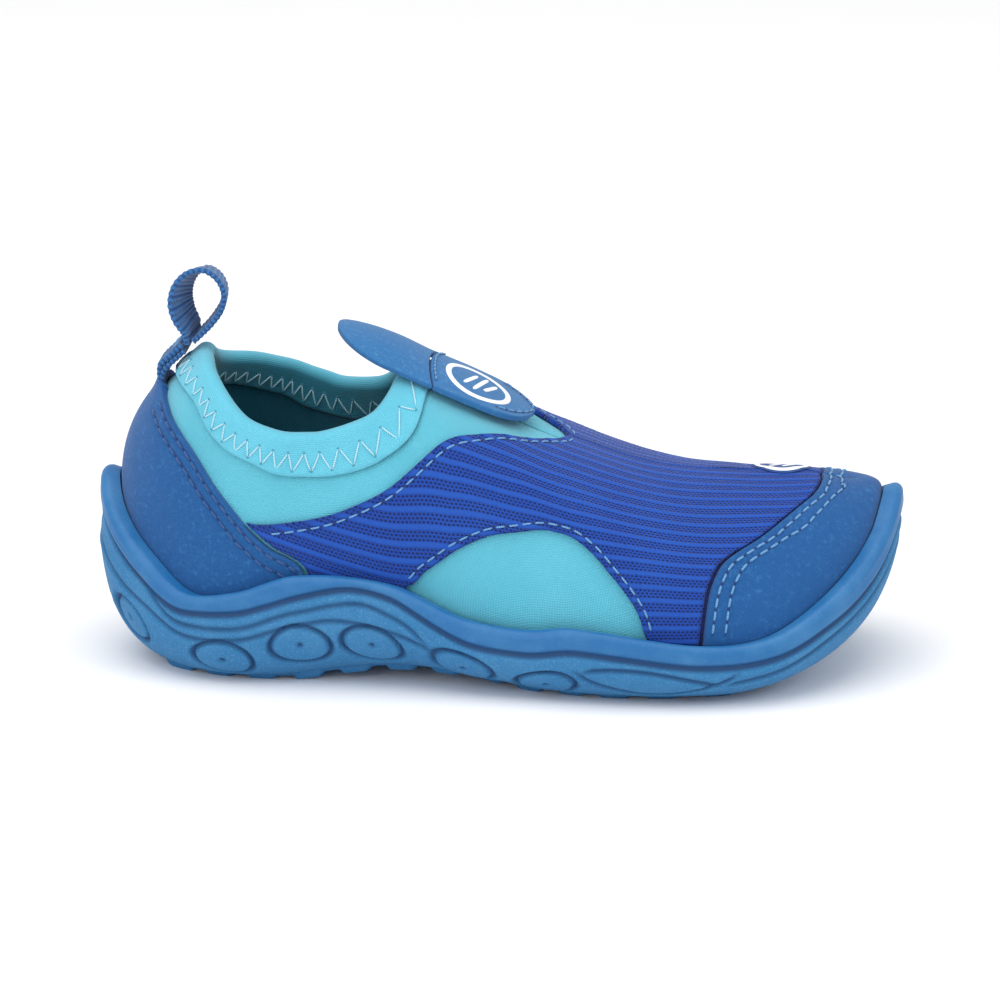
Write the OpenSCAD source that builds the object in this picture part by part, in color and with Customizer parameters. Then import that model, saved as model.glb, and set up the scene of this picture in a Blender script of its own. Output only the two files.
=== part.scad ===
// Child's slip-on water shoe, right foot.
// +X points to the toe, -Y is the outer (lateral) side, +Z is up, and the ground is z = 0.
// Every panel is laid out on one last surface, skin(): u runs from heel to toe, t from the
// sole's rim to the top line, and side is -1 on the lateral and 1 on the medial half.

/* [Overall size] */
// Length over the heel and toe rims
shoe_len = 160; // [132:1:192]
// Width over the rim at the ball of the foot
shoe_w = 66; // [55:1:80]
// Height of the collar line above the ground
collar_h = 66; // [55:1:80]

/* [Sole] */
// Width of the raised rim band that holds the upper
rim_t = 3.6; // [2.8:0.1:4.6]
// Height of the smooth bead along the rim
bead_h = 5; // [3.6:0.1:6.4]
// Thickness of the sole under the foot at the ball
sole_t = 5; // [4:0.1:7]
// Thickness of the board that closes the upper
board_t = 1.6; // [1:0.1:2.4]
// Thickness of the foam footbed
footbed_t = 3.4; // [2:0.1:5]
// Thickness of the cloth on the footbed
cloth_t = 0.6; // [0.4:0.1:1]

/* [Upper] */
// Thickness of the neoprene
neoprene_t = 2; // [1.4:0.1:3]
// Thickness of the mesh and of the coated panels
overlay_t = 0.9; // [0.6:0.1:1.3]
// Thickness of the stretch binding
binding_t = 0.7; // [0.5:0.1:1]
// Air between two layers
layer_gap = 0.25; // [0.2:0.05:0.35]
// Air between the upper and the wall of the sole
cup_gap = 0.45; // [0.35:0.05:0.6]
// Extra height of the collar on the medial side
medial_rise = 3.5; // [0:0.5:6]
// Diameter of the sewing thread
thread_d = 0.5; // [0.3:0.1:0.7]

/* [Heel loop] */
// Width of the webbing
webbing_w = 9.5; // [7:0.1:12]
// Thickness of the webbing
webbing_t = 1.2; // [0.9:0.1:1.6]
// Height of the free loop above its hinge line
loop_h = 14.5; // [11:0.1:18]
// Width of the free loop, seen from the side
loop_w = 9; // [7:0.5:12]

/* [Tongue] */
// Length of the free pull tab behind its cross seam
tab_len = 19; // [14:0.1:24]
// Half width of the pull tab
tab_half_w = 11; // [8:0.1:13.5]
// Thickness of the tab and of the patch
tab_t = 1.2; // [0.8:0.1:1.8]
// Outer radius of the ring badge
badge_r = 7.2; // [5:0.1:8.7]
// Width of the badge's ring
badge_ring_w = 1.2; // [0.8:0.1:2]
// Thickness of the badges
badge_t = 0.5; // [0.3:0.1:0.8]

/* [Hidden] */

// The pattern below is drawn for this size, and the shoe is graded from it.
pattern_len = 160;
pattern_w = 66;
pattern_h = 66;
grade_x = shoe_len / pattern_len;
grade_y = shoe_w / pattern_w;
grade_z = collar_h / pattern_h;
half_len = pattern_len / 2;
rim_clear = rim_t + cup_gap;

// Pattern tables: [u, values], heel at 0 and toe at 1, in millimetres and degrees.
half_width = [[0, [43]], [.2, [37.5]], [.4, [28]], [.5, [29]], [.6, [34.5]], [.8, [44]], [1, [47]]];
rim_top = [[0, [37]], [.04, [35.6]], [.08, [32.4]], [.16, [25]], [.22, [19]], [.28, [20]], [.34, [24]], [.42, [22.5]],
  [.48, [16.5]], [.53, [15]], [.57, [16]], [.68, [13]], [.75, [14]], [.82, [20]], [.92, [30]], [.96, [33.8]], [1, [35.5]]];
side_round = [[0, [9]], [.12, [11]], [.25, [12]], [.5, [11]], [.62, [10]], [.75, [13]], [.9, [17]], [1, [18]]];
// Height of the tread and rise of the floor above it, along the shoe: [x, [z]].
tread_line = [[-80, [6]], [-72, [1.8]], [-60, [.2]], [-50, [0]], [-40, [.3]], [-30, [1.8]], [-20, [2.8]],
  [-10, [2.6]], [0, [1.3]], [10, [.3]], [20, [0]], [42, [0]], [50, [.8]], [57, [2.6]], [64, [5.8]],
  [70, [9.6]], [80, [18]]];
floor_rise = [[-80, [3.5]], [-50, [3]], [-20, [2.4]], [10, [.2]], [20, [0]], [80, [0]]];
// Top line: x, z. Collar tube: half width.
top_line = [[0, [-59, 65]], [.1, [-55.5, 66.5]], [.2, [-46, 68]], [.3, [-36, 69]], [.4, [-27, 67]],
  [.5, [-15, 61.3]], [.55, [-4.5, 56]], [.6, [7, 49.8]], [.7, [29, 42]], [.8, [47, 40.2]],
  [.9, [60, 40]], [1, [67, 38.4]]];
collar_width = [[0, [13]], [.15, [15.5]], [.3, [17]], [.42, [10]], [.5, [0]]];
// Fullness of each section: lower handle, upper handle, outward lean at the rim.
fullness = [[0, [.4, .35, 0]], [.2, [.4, .33, 0]], [.4, [.42, .34, 0]], [.5, [.45, .37, .05]],
  [.6, [.45, .45, .1]], [.8, [.4, .45, .12]], [1, [.4, .42, .05]]];
// Direction in which each section leaves the top line: azimuth from the toe, dip.
top_turn = [[-.1, [205, 50]], [0, [180, 41]], [.1, [155, 50]], [.25, [110, 68]], [.4, [90, 50]], [.46, [90, 16]], [.5, [90, 4]],
  [.6, [90, 2]], [.7, [90, 3]], [.82, [78, 7]], [.92, [42, 10]], [1, [0, 12]],
  [1.08, [-42, 10]]];

// Panel edges on the last. Collar line and lower edge of the binding: [k, [u, t]], k from heel to instep.
collar_line = [[-.1, [-.07, .94]], [0, [0, .94]], [.1, [.07, .94]], [.2, [.14, .89]], [.35, [.19, .76]],
  [.5, [.25, .65]], [.65, [.32, .55]], [.75, [.36, .55]], [.85, [.415, .64]], [.93, [.46, .8]],
  [1, [.485, 1]], [1.07, [.46, 1.2]]];
binding_line = [[-.1, [-.06, .74]], [0, [0, .75]], [.1, [.06, .74]], [.2, [.125, .7]], [.35, [.18, .59]],
  [.5, [.25, .51]], [.65, [.32, .4]], [.75, [.37, .39]], [.85, [.42, .47]], [.93, [.475, .64]],
  [1, [.515, 1]], [1.07, [.475, 1.36]]];
// Front edge of the heel counter and rear edge of the toe cap: [t, [u]].
counter_edge = [[-.6, [.345]], [0, [.338]], [.12, [.305]], [.21, [.28]], [.34, [.24]], [.45, [.195]],
  [.54, [.145]], [.625, [.09]], [.7, [.045]]];
cap_edge = [[-.6, [.685]], [0, [.688]], [.1, [.693]], [.2, [.703]], [.29, [.718]], [.35, [.733]],
  [.4, [.755]], [.44, [.78]], [.5, [.81]], [.565, [.838]], [.65, [.873]], [.84, [.917]], [1, [.943]], [1.1, [.965]]];
// Upper edge of the mesh and upper edge of the window in it: [u, [t]].
mesh_edge = [[.26, [.26]], [.28, [.237]], [.328, [.2]], [.36, [.217]], [.39, [.27]], [.42, [.346]], [.45, [.438]],
  [.48, [.525]], [.51, [.6]], [.54, [.675]], [.575, [.775]], [.605, [.872]], [.623, [.94]], [.632, [1]]];
window_edge = [[.43, [0]], [.448, [.08]], [.475, [.18]], [.505, [.245]], [.53, [.278]], [.555, [.302]],
  [.57, [.308]], [.585, [.305]], [.598, [.263]], [.608, [.2]], [.618, [.142]], [.628, [.07]], [.634, [0]]];
// Half width of the tongue patch: [u, [v]], v being 1 - t.
patch_edge = [[.49, [.19]], [.508, [.205]], [.54, [.2]], [.56, [.185]], [.578, [.14]], [.592, [.07]], [.597, [.01]]];

// Levels of the layers, measured from the last surface along its normal, outwards positive.
overlay_out = -0.1;
overlay_in = overlay_out - overlay_t;
panel_out = 0.1;
neoprene_out = overlay_in - layer_gap;
neoprene_in = neoprene_out - neoprene_t;
leaf_in = neoprene_out + layer_gap;
leaf_out = leaf_in + binding_t;
inner_leaf_out = neoprene_in - layer_gap;
inner_leaf_in = inner_leaf_out - binding_t;
fold_level = (leaf_out + inner_leaf_in) / 2;
fold_r = (leaf_out - inner_leaf_in) / 2;
// Lift of a thread or a badge over the surface that carries it.
thread_lift = 0.28;
thread_top = thread_lift + thread_d;
patch_in = max(leaf_out + thread_top, overlay_out) + layer_gap / 2;
patch_out = patch_in + tab_t;
base_in = max(leaf_out + thread_top, panel_out) + layer_gap / 2;
base_out = base_in + 2 * webbing_t;
step = 0.002;
pole = 0.98;

// Number rules.
function clamp(v, lo = 0, hi = 1) = min(max(v, lo), hi);
function unit(v) = v / max(norm(v), 1e-9);
function lerp(a, b, k) = a * (1 - k) + b * k;
function interval(keys, u, i = 1) = i >= len(keys) - 1 || u < keys[i][0] ? i : interval(keys, u, i + 1);
function slope(keys, i) =
  i == 0 || i == len(keys) - 1
    ? 0 * keys[i][1]
    : (keys[i + 1][1] - keys[i - 1][1]) / (keys[i + 1][0] - keys[i - 1][0]);
// Smooth curve through a table of keys.
function spline(keys, u) =
  let (
    i = interval(keys, u),
    a = keys[i - 1],
    b = keys[i],
    h = b[0] - a[0],
    s = clamp((u - a[0]) / h),
    s2 = s * s,
    s3 = s2 * s
  )
  (2 * s3 - 3 * s2 + 1) * a[1] + (s3 - 2 * s2 + s) * h * slope(keys, i - 1)
  + (3 * s2 - 2 * s3) * b[1] + (s3 - s2) * h * slope(keys, i);
function curve(keys, u) = spline(keys, u)[0];

// The pattern's centre line bends towards the medial side at the toe.
function centre_y(x) = 5.5 * pow(max(x + 20, 0) / 100, 2);
function grade(p) = [p[0] * grade_x, p[1] * grade_y - side_shift, p[2] * grade_z];
// Point on a plan outline, set in from the rim's outer edge.
function plan(u, side, inset) =
  let (x = plan_x(u, inset))
  [x, centre_y(x) + side * (curve(half_width, u) - inset) * sin(180 * u)];
function plan_y(u, side) = plan(u, side, 0)[1] * grade_y;
side_shift =
  (max([for (u = [0:.02:1]) plan_y(u, 1)]) + min([for (u = [0:.02:1]) plan_y(u, -1)])) / 2;

// Inside of the cup: level 0 at the rim's top, 1 at the floor.
function plan_x(u, inset) = -(half_len - inset) * cos(180 * u);
function floor_z(x) = sole_t + curve(floor_rise, x) + max(curve(tread_line, x), 0);
function cup_inset(u, level) = rim_clear + 0.8 * curve(side_round, u) * (1 - cos(90 * level));
function cup_z(u, level) = lerp(curve(rim_top, u), floor_z(plan_x(u, cup_inset(u, 1))), sin(90 * level));
function cup(u, level, side) =
  let (p = plan(u, side, cup_inset(u, level)))
  [p[0], p[1], cup_z(u, level)];

// The four control points of a section of the upper.
function section(u, side) =
  let (
    rim = plan(u, side, rim_clear),
    foot = [rim[0], rim[1], curve(rim_top, u)],
    line = spline(top_line, u),
    tube = max(curve(collar_width, u), 0) * sin(360 * min(u, .5)),
    top = [line[0], centre_y(line[0]) + side * tube, line[1]],
    full = spline(fullness, u),
    turn = spline(top_turn, u),
    ahead = plan(min(u + step, 1), side, rim_clear) - plan(max(u - step, 0), side, rim_clear),
    out = unit([side * ahead[1], -side * ahead[0], 0]),
    rise = unit([0, 0, 1] + full[2] * out),
    fall = [cos(turn[0]) * cos(turn[1]), side * sin(turn[0]) * cos(turn[1]), -sin(turn[1])],
    chord = norm(top - foot)
  )
  [foot, foot + rise * chord * full[0], top + fall * chord * full[1], top];
function bezier(c, t) =
  c[0] * pow(1 - t, 3) + 3 * c[1] * t * pow(1 - t, 2) + 3 * c[2] * t * t * (1 - t) + c[3] * pow(t, 3);
function surface_point(u, t, side) = t < 0 ? cup(u, -t, side) : bezier(section(u, side), min(t, 1));
function raw_normal(u, t, side) =
  let (
    q = min(t, pole),
    along = surface_point(min(u + step, 1), q, side) - surface_point(max(u - step, 0), q, side),
    upward = surface_point(u, q + step, side) - surface_point(u, max(q - step, -1), side)
  )
  unit(-side * cross(along, upward));
function normal(u, t, side) =
  u < step || u > 1 - step || t > 1 - step
    ? unit(raw_normal(u, t, -1) + raw_normal(u, t, 1))
    : raw_normal(u, t, side);
// Point of the upper, lifted from the last surface along its normal.
function skin(p, lift) = grade(surface_point(p[0], p[1], p[2])) + lift * normal(p[0], p[1], p[2]);
// The same point with the crossing of the ridge and of the heel written as signs.
function over_ridge(u, v) = [u, 1 - abs(v), v < 0 ? -1 : 1];
function round_heel(u, t) = [abs(u), t, u < 0 ? -1 : 1];
// Patch between four boundary curves; each returns [u, t] for 0..1.
function coons(low, high, rear, front, a, b) =
  lerp(low(a), high(a), b) + lerp(rear(b), front(b), a)
  - lerp(lerp(low(0), low(1), a), lerp(high(0), high(1), a), b);

// Faces of a wall of two skins over a grid of n by m points.
// live(i, j) keeps a cell, at(i, j) is a point's index, and shut(i, j, edge) says that an edge
// (0 low j, 1 high i, 2 high j, 3 low i) is sewn to another cell, so that it has no rim face.
function quad(a, b, c, d) = concat(
  a == b || b == c || a == c ? [] : [[a, b, c]],
  a == c || c == d || a == d ? [] : [[a, c, d]]
);
function turned(f, flip) = flip ? [for (t = f) [t[0], t[2], t[1]]] : f;
function wall_faces(n, m, live, at, shut, flip) =
  let (back = n * m, open = function (i, j) i < 0 || j < 0 || i > n - 2 || j > m - 2 ? true : !live(i, j))
  [for (i = [0:n - 2], j = [0:m - 2]) if (live(i, j))
    let (
      a = at(i, j), b = at(i + 1, j), c = at(i + 1, j + 1), d = at(i, j + 1),
      f = concat(
        quad(a, b, c, d),
        quad(back + a, back + d, back + c, back + b),
        open(i, j - 1) && !shut(i, j, 0) ? quad(b, a, back + a, back + b) : [],
        open(i + 1, j) && !shut(i, j, 1) ? quad(c, b, back + b, back + c) : [],
        open(i, j + 1) && !shut(i, j, 2) ? quad(d, c, back + c, back + d) : [],
        open(i - 1, j) && !shut(i, j, 3) ? quad(a, d, back + d, back + a) : []
      )
    )
    each turned(f, flip)
  ];
always = function (i, j) true;
never = function (i, j, edge) false;

// A wall between two grids of points.
module wall(outer, inner, at, shut = never, live = always, flip = false) {
  polyhedron(
    points = concat([for (row = outer, p = row) p], [for (row = inner, p = row) p]),
    faces = wall_faces(len(outer), len(outer[0]), live, at, shut, flip),
    convexity = 8
  );
}
// A panel of even thickness over a grid of places on the last.
module panel(places, outer, inner, at, shut = never, live = always, flip = false) {
  wall(
    [for (row = places) [for (p = row) skin(p, outer)]],
    [for (row = places) [for (p = row) skin(p, inner)]],
    at, shut, live, flip
  );
}
module plain_panel(places, outer, inner, flip = false) {
  m = len(places[0]);
  panel(places, outer, inner, function (i, j) i * m + j, flip = flip);
}
// A closed tube of equal rings; closed also joins the last ring to the first.
module ring_tube(rings, closed = false, flip = false) {
  n = len(rings);
  m = len(rings[0]);
  last = closed ? n - 1 : n - 2;
  body = [for (i = [0:last], j = [0:m - 1])
    let (k = (i + 1) % n, l = (j + 1) % m)
    each quad(i * m + j, k * m + j, k * m + l, i * m + l)];
  caps = closed ? [] : [
    [for (j = [m - 1:-1:0]) (n - 1) * m + j],
    [for (j = [0:m - 1]) j]
  ];
  faces = concat(body, caps);
  polyhedron(
    points = [for (r = rings, p = r) p],
    faces = flip ? [for (f = faces) [for (j = [len(f) - 1:-1:0]) f[j]]] : faces,
    convexity = 8
  );
}
// A line of thread lying on the upper along a list of places.
module thread_line(places, lift, closed = false) {
  n = len(places);
  lines = [for (p = places) skin(p, lift)];
  ups = [for (p = places) normal(p[0], p[1], p[2])];
  rings = [for (i = [0:n - 1])
    let (
      ahead = lines[closed ? (i + 1) % n : min(i + 1, n - 1)],
      behind = lines[closed ? (i + n - 1) % n : max(i - 1, 0)],
      along = unit(ahead - behind),
      lean = max(abs(unit(ahead - lines[i]) * along), .35),
      wide = unit(cross(along, ups[i])) * thread_d / 2 / lean,
      high = ups[i] * thread_d
    )
    [lines[i] - wide, lines[i] + wide, lines[i] + wide + high, lines[i] - wide + high]];
  ring_tube(rings, closed);
}

// Grids are counted in cells.
round_cells = 36;
sole_levels = [1, .8, .6, .4, .2, .02];
cup_levels = [.2, .45, .7, 1];
groove_depth = 1.2;
bead_soft = 1.2;
tread_land = 9;
bead_z = function (u) curve(rim_top, u) - bead_h;

// Rings around the sole: the first and the last are closed along the centre line.
function around(inset, level) = [for (i = [0:2 * round_cells - 1])
  let (u = (i <= round_cells ? i : 2 * round_cells - i) / round_cells, side = i <= round_cells ? -1 : 1,
    p = plan(u, side, inset(u)))
  grade([p[0], p[1], level(u, p[0])])];
function centre_line(inset, level) = [for (i = [0:2 * round_cells - 1])
  let (u = (i <= round_cells ? i : 2 * round_cells - i) / round_cells,
    x = plan_x(u, inset(u)))
  grade([x, centre_y(x), level(u, x)])];
module sole_form(rings) {
  n = len(rings);
  m = 2 * round_cells;
  at = function (i, j) i * m + (i == 0 || i == n - 1 ? min(j % m, m - j % m) : j % m);
  polyhedron(
    points = [for (r = rings, p = r) p],
    faces = [for (i = [0:n - 2], j = [0:m - 1])
      each quad(at(i, j), at(i + 1, j), at(i + 1, j + 1), at(i, j + 1))],
    convexity = 10
  );
}
// A flat layer over the cup's floor.
module floor_layer(margin, low, thick) {
  edge = function (u) cup_inset(u, 1) + margin;
  under = function (u, x) floor_z(x) + low / grade_z;
  over = function (u, x) floor_z(x) + (low + thick) / grade_z;
  sole_form([centre_line(edge, under), around(edge, under), around(edge, over), centre_line(edge, over)]);
}

module outsole() {
  tread_inset = function (u) curve(side_round, u);
  land_inset = function (u) curve(side_round, u) + tread_land;
  tread_z = function (u, x) max(curve(tread_line, x), 0);
  color([.29, .56, .75])
    sole_form(concat(
      [centre_line(land_inset, tread_z), around(land_inset, tread_z)],
      [for (k = sole_levels) around(
        function (u) tread_inset(u) * (1 - cos(90 * k)),
        function (u, x) lerp(bead_z(u), tread_z(u, plan_x(u, tread_inset(u))), sin(90 * k)))],
      [around(function (u) groove_depth, function (u, x) bead_z(u) + .2),
        around(function (u) 0, function (u, x) bead_z(u) + bead_soft),
        around(function (u) 0, function (u, x) curve(rim_top, u) - bead_soft),
        around(function (u) bead_soft, function (u, x) curve(rim_top, u)),
        around(function (u) rim_t, function (u, x) curve(rim_top, u))],
      [for (k = cup_levels) around(
        function (u) cup_inset(u, k) - cup_gap,
        function (u, x) cup_z(u, k))],
      [centre_line(function (u) cup_inset(u, 1) + tread_land, function (u, x) floor_z(x))]
    ));
}

// Floor of the upper.
board_low = -neoprene_out;
foam_low = board_low + board_t + layer_gap;
cloth_low = foam_low + footbed_t + layer_gap / 2;
board_margin = 0.5;
foam_margin = board_margin + 2 * thread_d + layer_gap;
module strobel_board() {
  color([.85, .85, .82]) floor_layer(board_margin, board_low, board_t);
}
module footbed_foam() {
  color([.2, .45, .6]) floor_layer(foam_margin, foam_low, footbed_t);
}
module footbed_cloth() {
  color([.25, .6, .72]) floor_layer(foam_margin, cloth_low, cloth_t);
}
module strobel_seam() {
  rings = [for (i = [0:2 * round_cells - 1])
    let (u = (i <= round_cells ? i : 2 * round_cells - i) / round_cells, side = i <= round_cells ? -1 : 1,
      near = plan(u, side, cup_inset(u, 1) + board_margin + thread_d / 2),
      far = plan(u, side, cup_inset(u, 1) + board_margin + 3 * thread_d / 2),
      low = floor_z(near[0]) + (board_low + board_t + layer_gap / 2) / grade_z,
      high = low + thread_d / 2 / grade_z)
    [grade([near[0], near[1], low]), grade([near[0], near[1], high]),
      grade([far[0], far[1], high]), grade([far[0], far[1], low])]];
  color([.9, .9, .9]) ring_tube(rings, closed = true);
}

// Neoprene: two halves that meet at the heel seam and under the tongue patch.
half_seam = 0.006;
front_lap = 0.66;
collar_share = 0.75;
collar_tuck = 0.012;
rise_span = 50;
function rise(k, side) = side > 0 ? medial_rise / rise_span * pow(sin(180 * k), 2) : 0;
function collar_place(k, side, share = 1) =
  let (p = lerp(spline(binding_line, k), spline(collar_line, k), share))
  [p[0], min(p[1] + rise(k, side), 1), side];
module neoprene_half(side) {
  columns = 36;
  rows = 14;
  low = function (a) [lerp(half_seam, front_lap, a), -1];
  high = function (a)
    a < collar_share
      ? let (p = collar_place(a / collar_share, side)) [max(p[0], half_seam), min(p[1], 1 - half_seam) - collar_tuck]
      : [lerp(collar_line[10][1][0], front_lap, (a - collar_share) / (1 - collar_share)), 1 - half_seam];
  rear = function (b) lerp(low(0), high(0), b);
  front = function (b) lerp(low(1), high(1), b);
  places = [for (i = [0:columns]) [for (j = [0:rows])
    let (q = coons(low, high, rear, front, i / columns, j / rows))
    [q[0], q[1], side]]];
  plain_panel(places, neoprene_out, neoprene_in, flip = side > 0);
}
module neoprene_lateral() {
  color([.37, .76, .85]) neoprene_half(-1);
}
module neoprene_medial() {
  color([.37, .76, .85]) neoprene_half(1);
}

// Knitted backing of the vamp, from the neoprene's front edge to the toe.
module vamp_backing() {
  columns = 12;
  half_rows = 12;
  m = 2 * half_rows + 1;
  places = [for (i = [0:columns]) [for (j = [-half_rows:half_rows])
    over_ridge(lerp(front_lap + half_seam, 1, i / columns), 2 * j / half_rows)]];
  at = function (i, j) i == columns && j > half_rows ? i * m + 2 * half_rows - j : i * m + j;
  shut = function (i, j, edge) edge == 1 && i == columns - 1;
  color([.15, .28, .55]) panel(places, neoprene_out, neoprene_in, at, shut);
}

// Mesh: two wings along the sides that join over the instep, with a window in each.
lasting = -0.4;
mesh_lasting = -0.06;
cut_gap = 0.004;
wing_front = 0.64;
wing_tail = 0.272;
module vamp_mesh() {
  wing_columns = 20;
  front_columns = 10;
  half_rows = 10;
  m = 2 * half_rows + 2;
  bottom = function (u) u < window_edge[0][0] || u > window_edge[12][0] ? mesh_lasting : curve(window_edge, u);
  wing_low = function (a) let (u = lerp(curve(counter_edge, mesh_lasting) + cut_gap, wing_front, a)) [u, bottom(u)];
  wing_high = function (a) let (u = lerp(wing_tail, wing_front, a)) [u, curve(mesh_edge, u)];
  wing_rear = function (b) let (t = lerp(mesh_lasting, wing_high(0)[1], b)) [curve(counter_edge, t) + cut_gap, t];
  throat = function (b) [wing_front, lerp(mesh_lasting, 1, b)];
  front_low = function (a) [lerp(wing_front, curve(cap_edge, mesh_lasting) - cut_gap, a), mesh_lasting];
  front_high = function (a) [lerp(wing_front, curve(cap_edge, 1) - cut_gap, a), 1];
  front_edge = function (b) let (t = lerp(mesh_lasting, 1, b)) [curve(cap_edge, t) - cut_gap, t];
  places = [for (i = [0:wing_columns + front_columns]) [for (j = [0:m - 1])
    let (
      side = j <= half_rows ? -1 : 1,
      b = (j <= half_rows ? j : m - 1 - j) / half_rows,
      q = i <= wing_columns
        ? coons(wing_low, wing_high, wing_rear, throat, i / wing_columns, b)
        : coons(front_low, front_high, throat, front_edge, (i - wing_columns) / front_columns, b)
    )
    [q[0], q[1], side]]];
  at = function (i, j) i * m + (j == half_rows + 1 && i >= wing_columns ? half_rows : j);
  live = function (i, j) j != half_rows;
  shut = function (i, j, edge) i >= wing_columns
    && ((edge == 2 && j == half_rows - 1) || (edge == 0 && j == half_rows + 1));
  color([.16, .32, .64]) panel(places, overlay_out, overlay_in, at, shut, live);
}

module toe_cap() {
  columns = 9;
  half_rows = 12;
  m = 2 * half_rows + 1;
  places = [for (i = [0:columns]) [for (j = [-half_rows:half_rows])
    let (p = over_ridge(0, (1 - lasting) * j / half_rows))
    [lerp(curve(cap_edge, p[1]), 1, i / columns), p[1], p[2]]]];
  at = function (i, j) i == columns && j > half_rows ? i * m + 2 * half_rows - j : i * m + j;
  shut = function (i, j, edge) edge == 1 && i == columns - 1;
  color([.19, .43, .67]) panel(places, panel_out, overlay_in, at, shut);
}

counter_top = 0.7;
module heel_counter() {
  half_columns = 13;
  rows = 12;
  places = [for (i = [-half_columns:half_columns]) [for (j = [0:rows])
    let (t = lerp(lasting, counter_top, j / rows))
    round_heel(curve(counter_edge, t) * i / half_columns, t)]];
  color([.17, .39, .62]) plain_panel(places, panel_out, overlay_in, flip = true);
}

// Binding folded over the collar's edge, all the way round.
module collar_binding() {
  half_stations = 28;
  leaf = [0, .35, .7, 1];
  bend = [30, 60, 90, 120, 150];
  n = len(leaf) - 1;
  rings = [for (i = [0:2 * half_stations - 1])
    let (
      k = (i <= half_stations ? i : 2 * half_stations - i) / half_stations,
      side = i <= half_stations ? -1 : 1,
      tip = collar_place(k, side),
      heart = skin(tip, fold_level),
      out = normal(tip[0], tip[1], tip[2]),
      over = unit(heart - skin(collar_place(k, side, .8), fold_level)),
      fold = function (angle, r) heart + r * (out * cos(angle) + over * sin(angle))
    )
    concat(
      [for (w = leaf) skin(collar_place(k, side, w), leaf_out)],
      [for (a = bend) fold(a, fold_r)],
      [for (j = [n:-1:0]) skin(collar_place(k, side, leaf[j]), inner_leaf_in)],
      [for (w = leaf) skin(collar_place(k, side, w), inner_leaf_out)],
      [for (j = [4:-2:0]) fold(bend[j], fold_r - binding_t)],
      [for (j = [n:-1:0]) skin(collar_place(k, side, leaf[j]), leaf_in)]
    )];
  color([.45, .76, .85]) ring_tube(rings, closed = true);
}
zig_low = 0.16;
zig_high = 0.74;
lining_zig_high = 0.66;
zig_pitch = 3.7;
collar_girth = 150;
module zigzag(lift, high) {
  half_zigs = 2 * round(collar_girth * grade_x / zig_pitch / 2);
  places = [for (i = [0:2 * half_zigs - 1])
    let (k = (i <= half_zigs ? i : 2 * half_zigs - i) / half_zigs, side = i <= half_zigs ? -1 : 1)
    collar_place(k, side, i % 2 == 0 ? zig_low : high)];
  color([.85, .93, .95]) thread_line(places, lift, closed = true);
}
module collar_zigzag() {
  zigzag(leaf_out + thread_lift, zig_high);
}
module lining_zigzag() {
  zigzag(inner_leaf_in - thread_top, lining_zig_high);
}

// Heel loop: a doubled webbing base sewn to the heel, and the free loop above it.
base_t = 0.56;
hinge_t = 0.965;
hinge_r = webbing_t + 0.1;
hinge_gap = 0.35;
heel_rate = norm(skin([0, hinge_t, -1], 0) - skin([0, hinge_t - .02, -1], 0)) / .02;
base_end_t = hinge_t - (hinge_r + hinge_gap) / heel_rate;
hinge = skin([0, hinge_t, -1], (base_in + base_out) / 2);
function base_point(y, t, lift) = skin([0, t, -1], lift) + [0, y, 0];
module heel_loop_base() {
  half_columns = 1;
  rows = 8;
  grid = function (lift) [for (i = [-half_columns:half_columns]) [for (j = [0:rows])
    base_point(webbing_w / 2 * i / half_columns, lerp(base_t, base_end_t, j / rows), lift)]];
  m = rows + 1;
  color([.2, .36, .6])
    wall(grid(base_out), grid(base_in), function (i, j) i * m + j, flip = true);
}
module heel_loop() {
  turns = 26;
  open_angle = 24;
  reach = (loop_w - webbing_t) / 2 / .77;
  tall = loop_h - webbing_t / 2;
  drop = function (a) [reach * sin(a) * sin(a / 2), tall * (1 - cos(a)) / 2];
  edge = function (a, out)
    let (way = unit(drop(a + 1) - drop(a - 1)))
    drop(a) + out * [way[1], -way[0]];
  angles = [for (i = [0:turns]) lerp(open_angle, 360 - open_angle, i / turns)];
  outline = concat(
    [for (a = angles) edge(a, webbing_t / 2)],
    [for (i = [turns:-1:0]) edge(angles[i], -webbing_t / 2)]
  );
  color([.2, .38, .64])
    translate(hinge)
      rotate([90, 0, 0]) {
        linear_extrude(height = webbing_w, center = true) polygon(outline);
        cylinder(h = webbing_w, r = hinge_r, center = true, $fn = 48);
      }
}
// Tight bars of thread across the upper end of the base.
tack_bars = 4;
tack_w = 0.7 * webbing_w;
module loop_bartack() {
  color([.75, .82, .9])
    for (i = [1:tack_bars]) {
      t = base_end_t - 1.4 * thread_d * i / heel_rate;
      way = unit(base_point(0, t, base_out) - base_point(0, t - .02, base_out));
      up = normal(0, t, -1);
      mid = base_point(0, t, base_out + layer_gap / 4);
      rings = [for (y = [-tack_w / 2, tack_w / 2])
        let (p = mid + [0, y, 0])
        [p, p - way * thread_d, p - way * thread_d + up * thread_d, p + up * thread_d]];
      ring_tube(rings, flip = true);
    }
}

// Tongue patch sewn over the instep, and the free pull tab behind its cross seam.
patch_rear = 0.505;
seam_u = 0.5;
module tongue_patch() {
  columns = 10;
  half_rows = 6;
  last_u = patch_edge[6][0];
  places = [for (i = [0:columns]) [for (j = [-half_rows:half_rows])
    let (u = lerp(patch_rear, last_u, i / columns))
    over_ridge(u, curve(patch_edge, u) * j / half_rows)]];
  color([.36, .6, .77]) plain_panel(places, patch_out, patch_in);
}
tab_hinge = skin([seam_u, 1, -1], (patch_in + patch_out) / 2);
tab_start = 34;
tab_end = 4;
tab_round = 18;
tab_full = 0.35;
tab_gap = 0.4;
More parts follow.
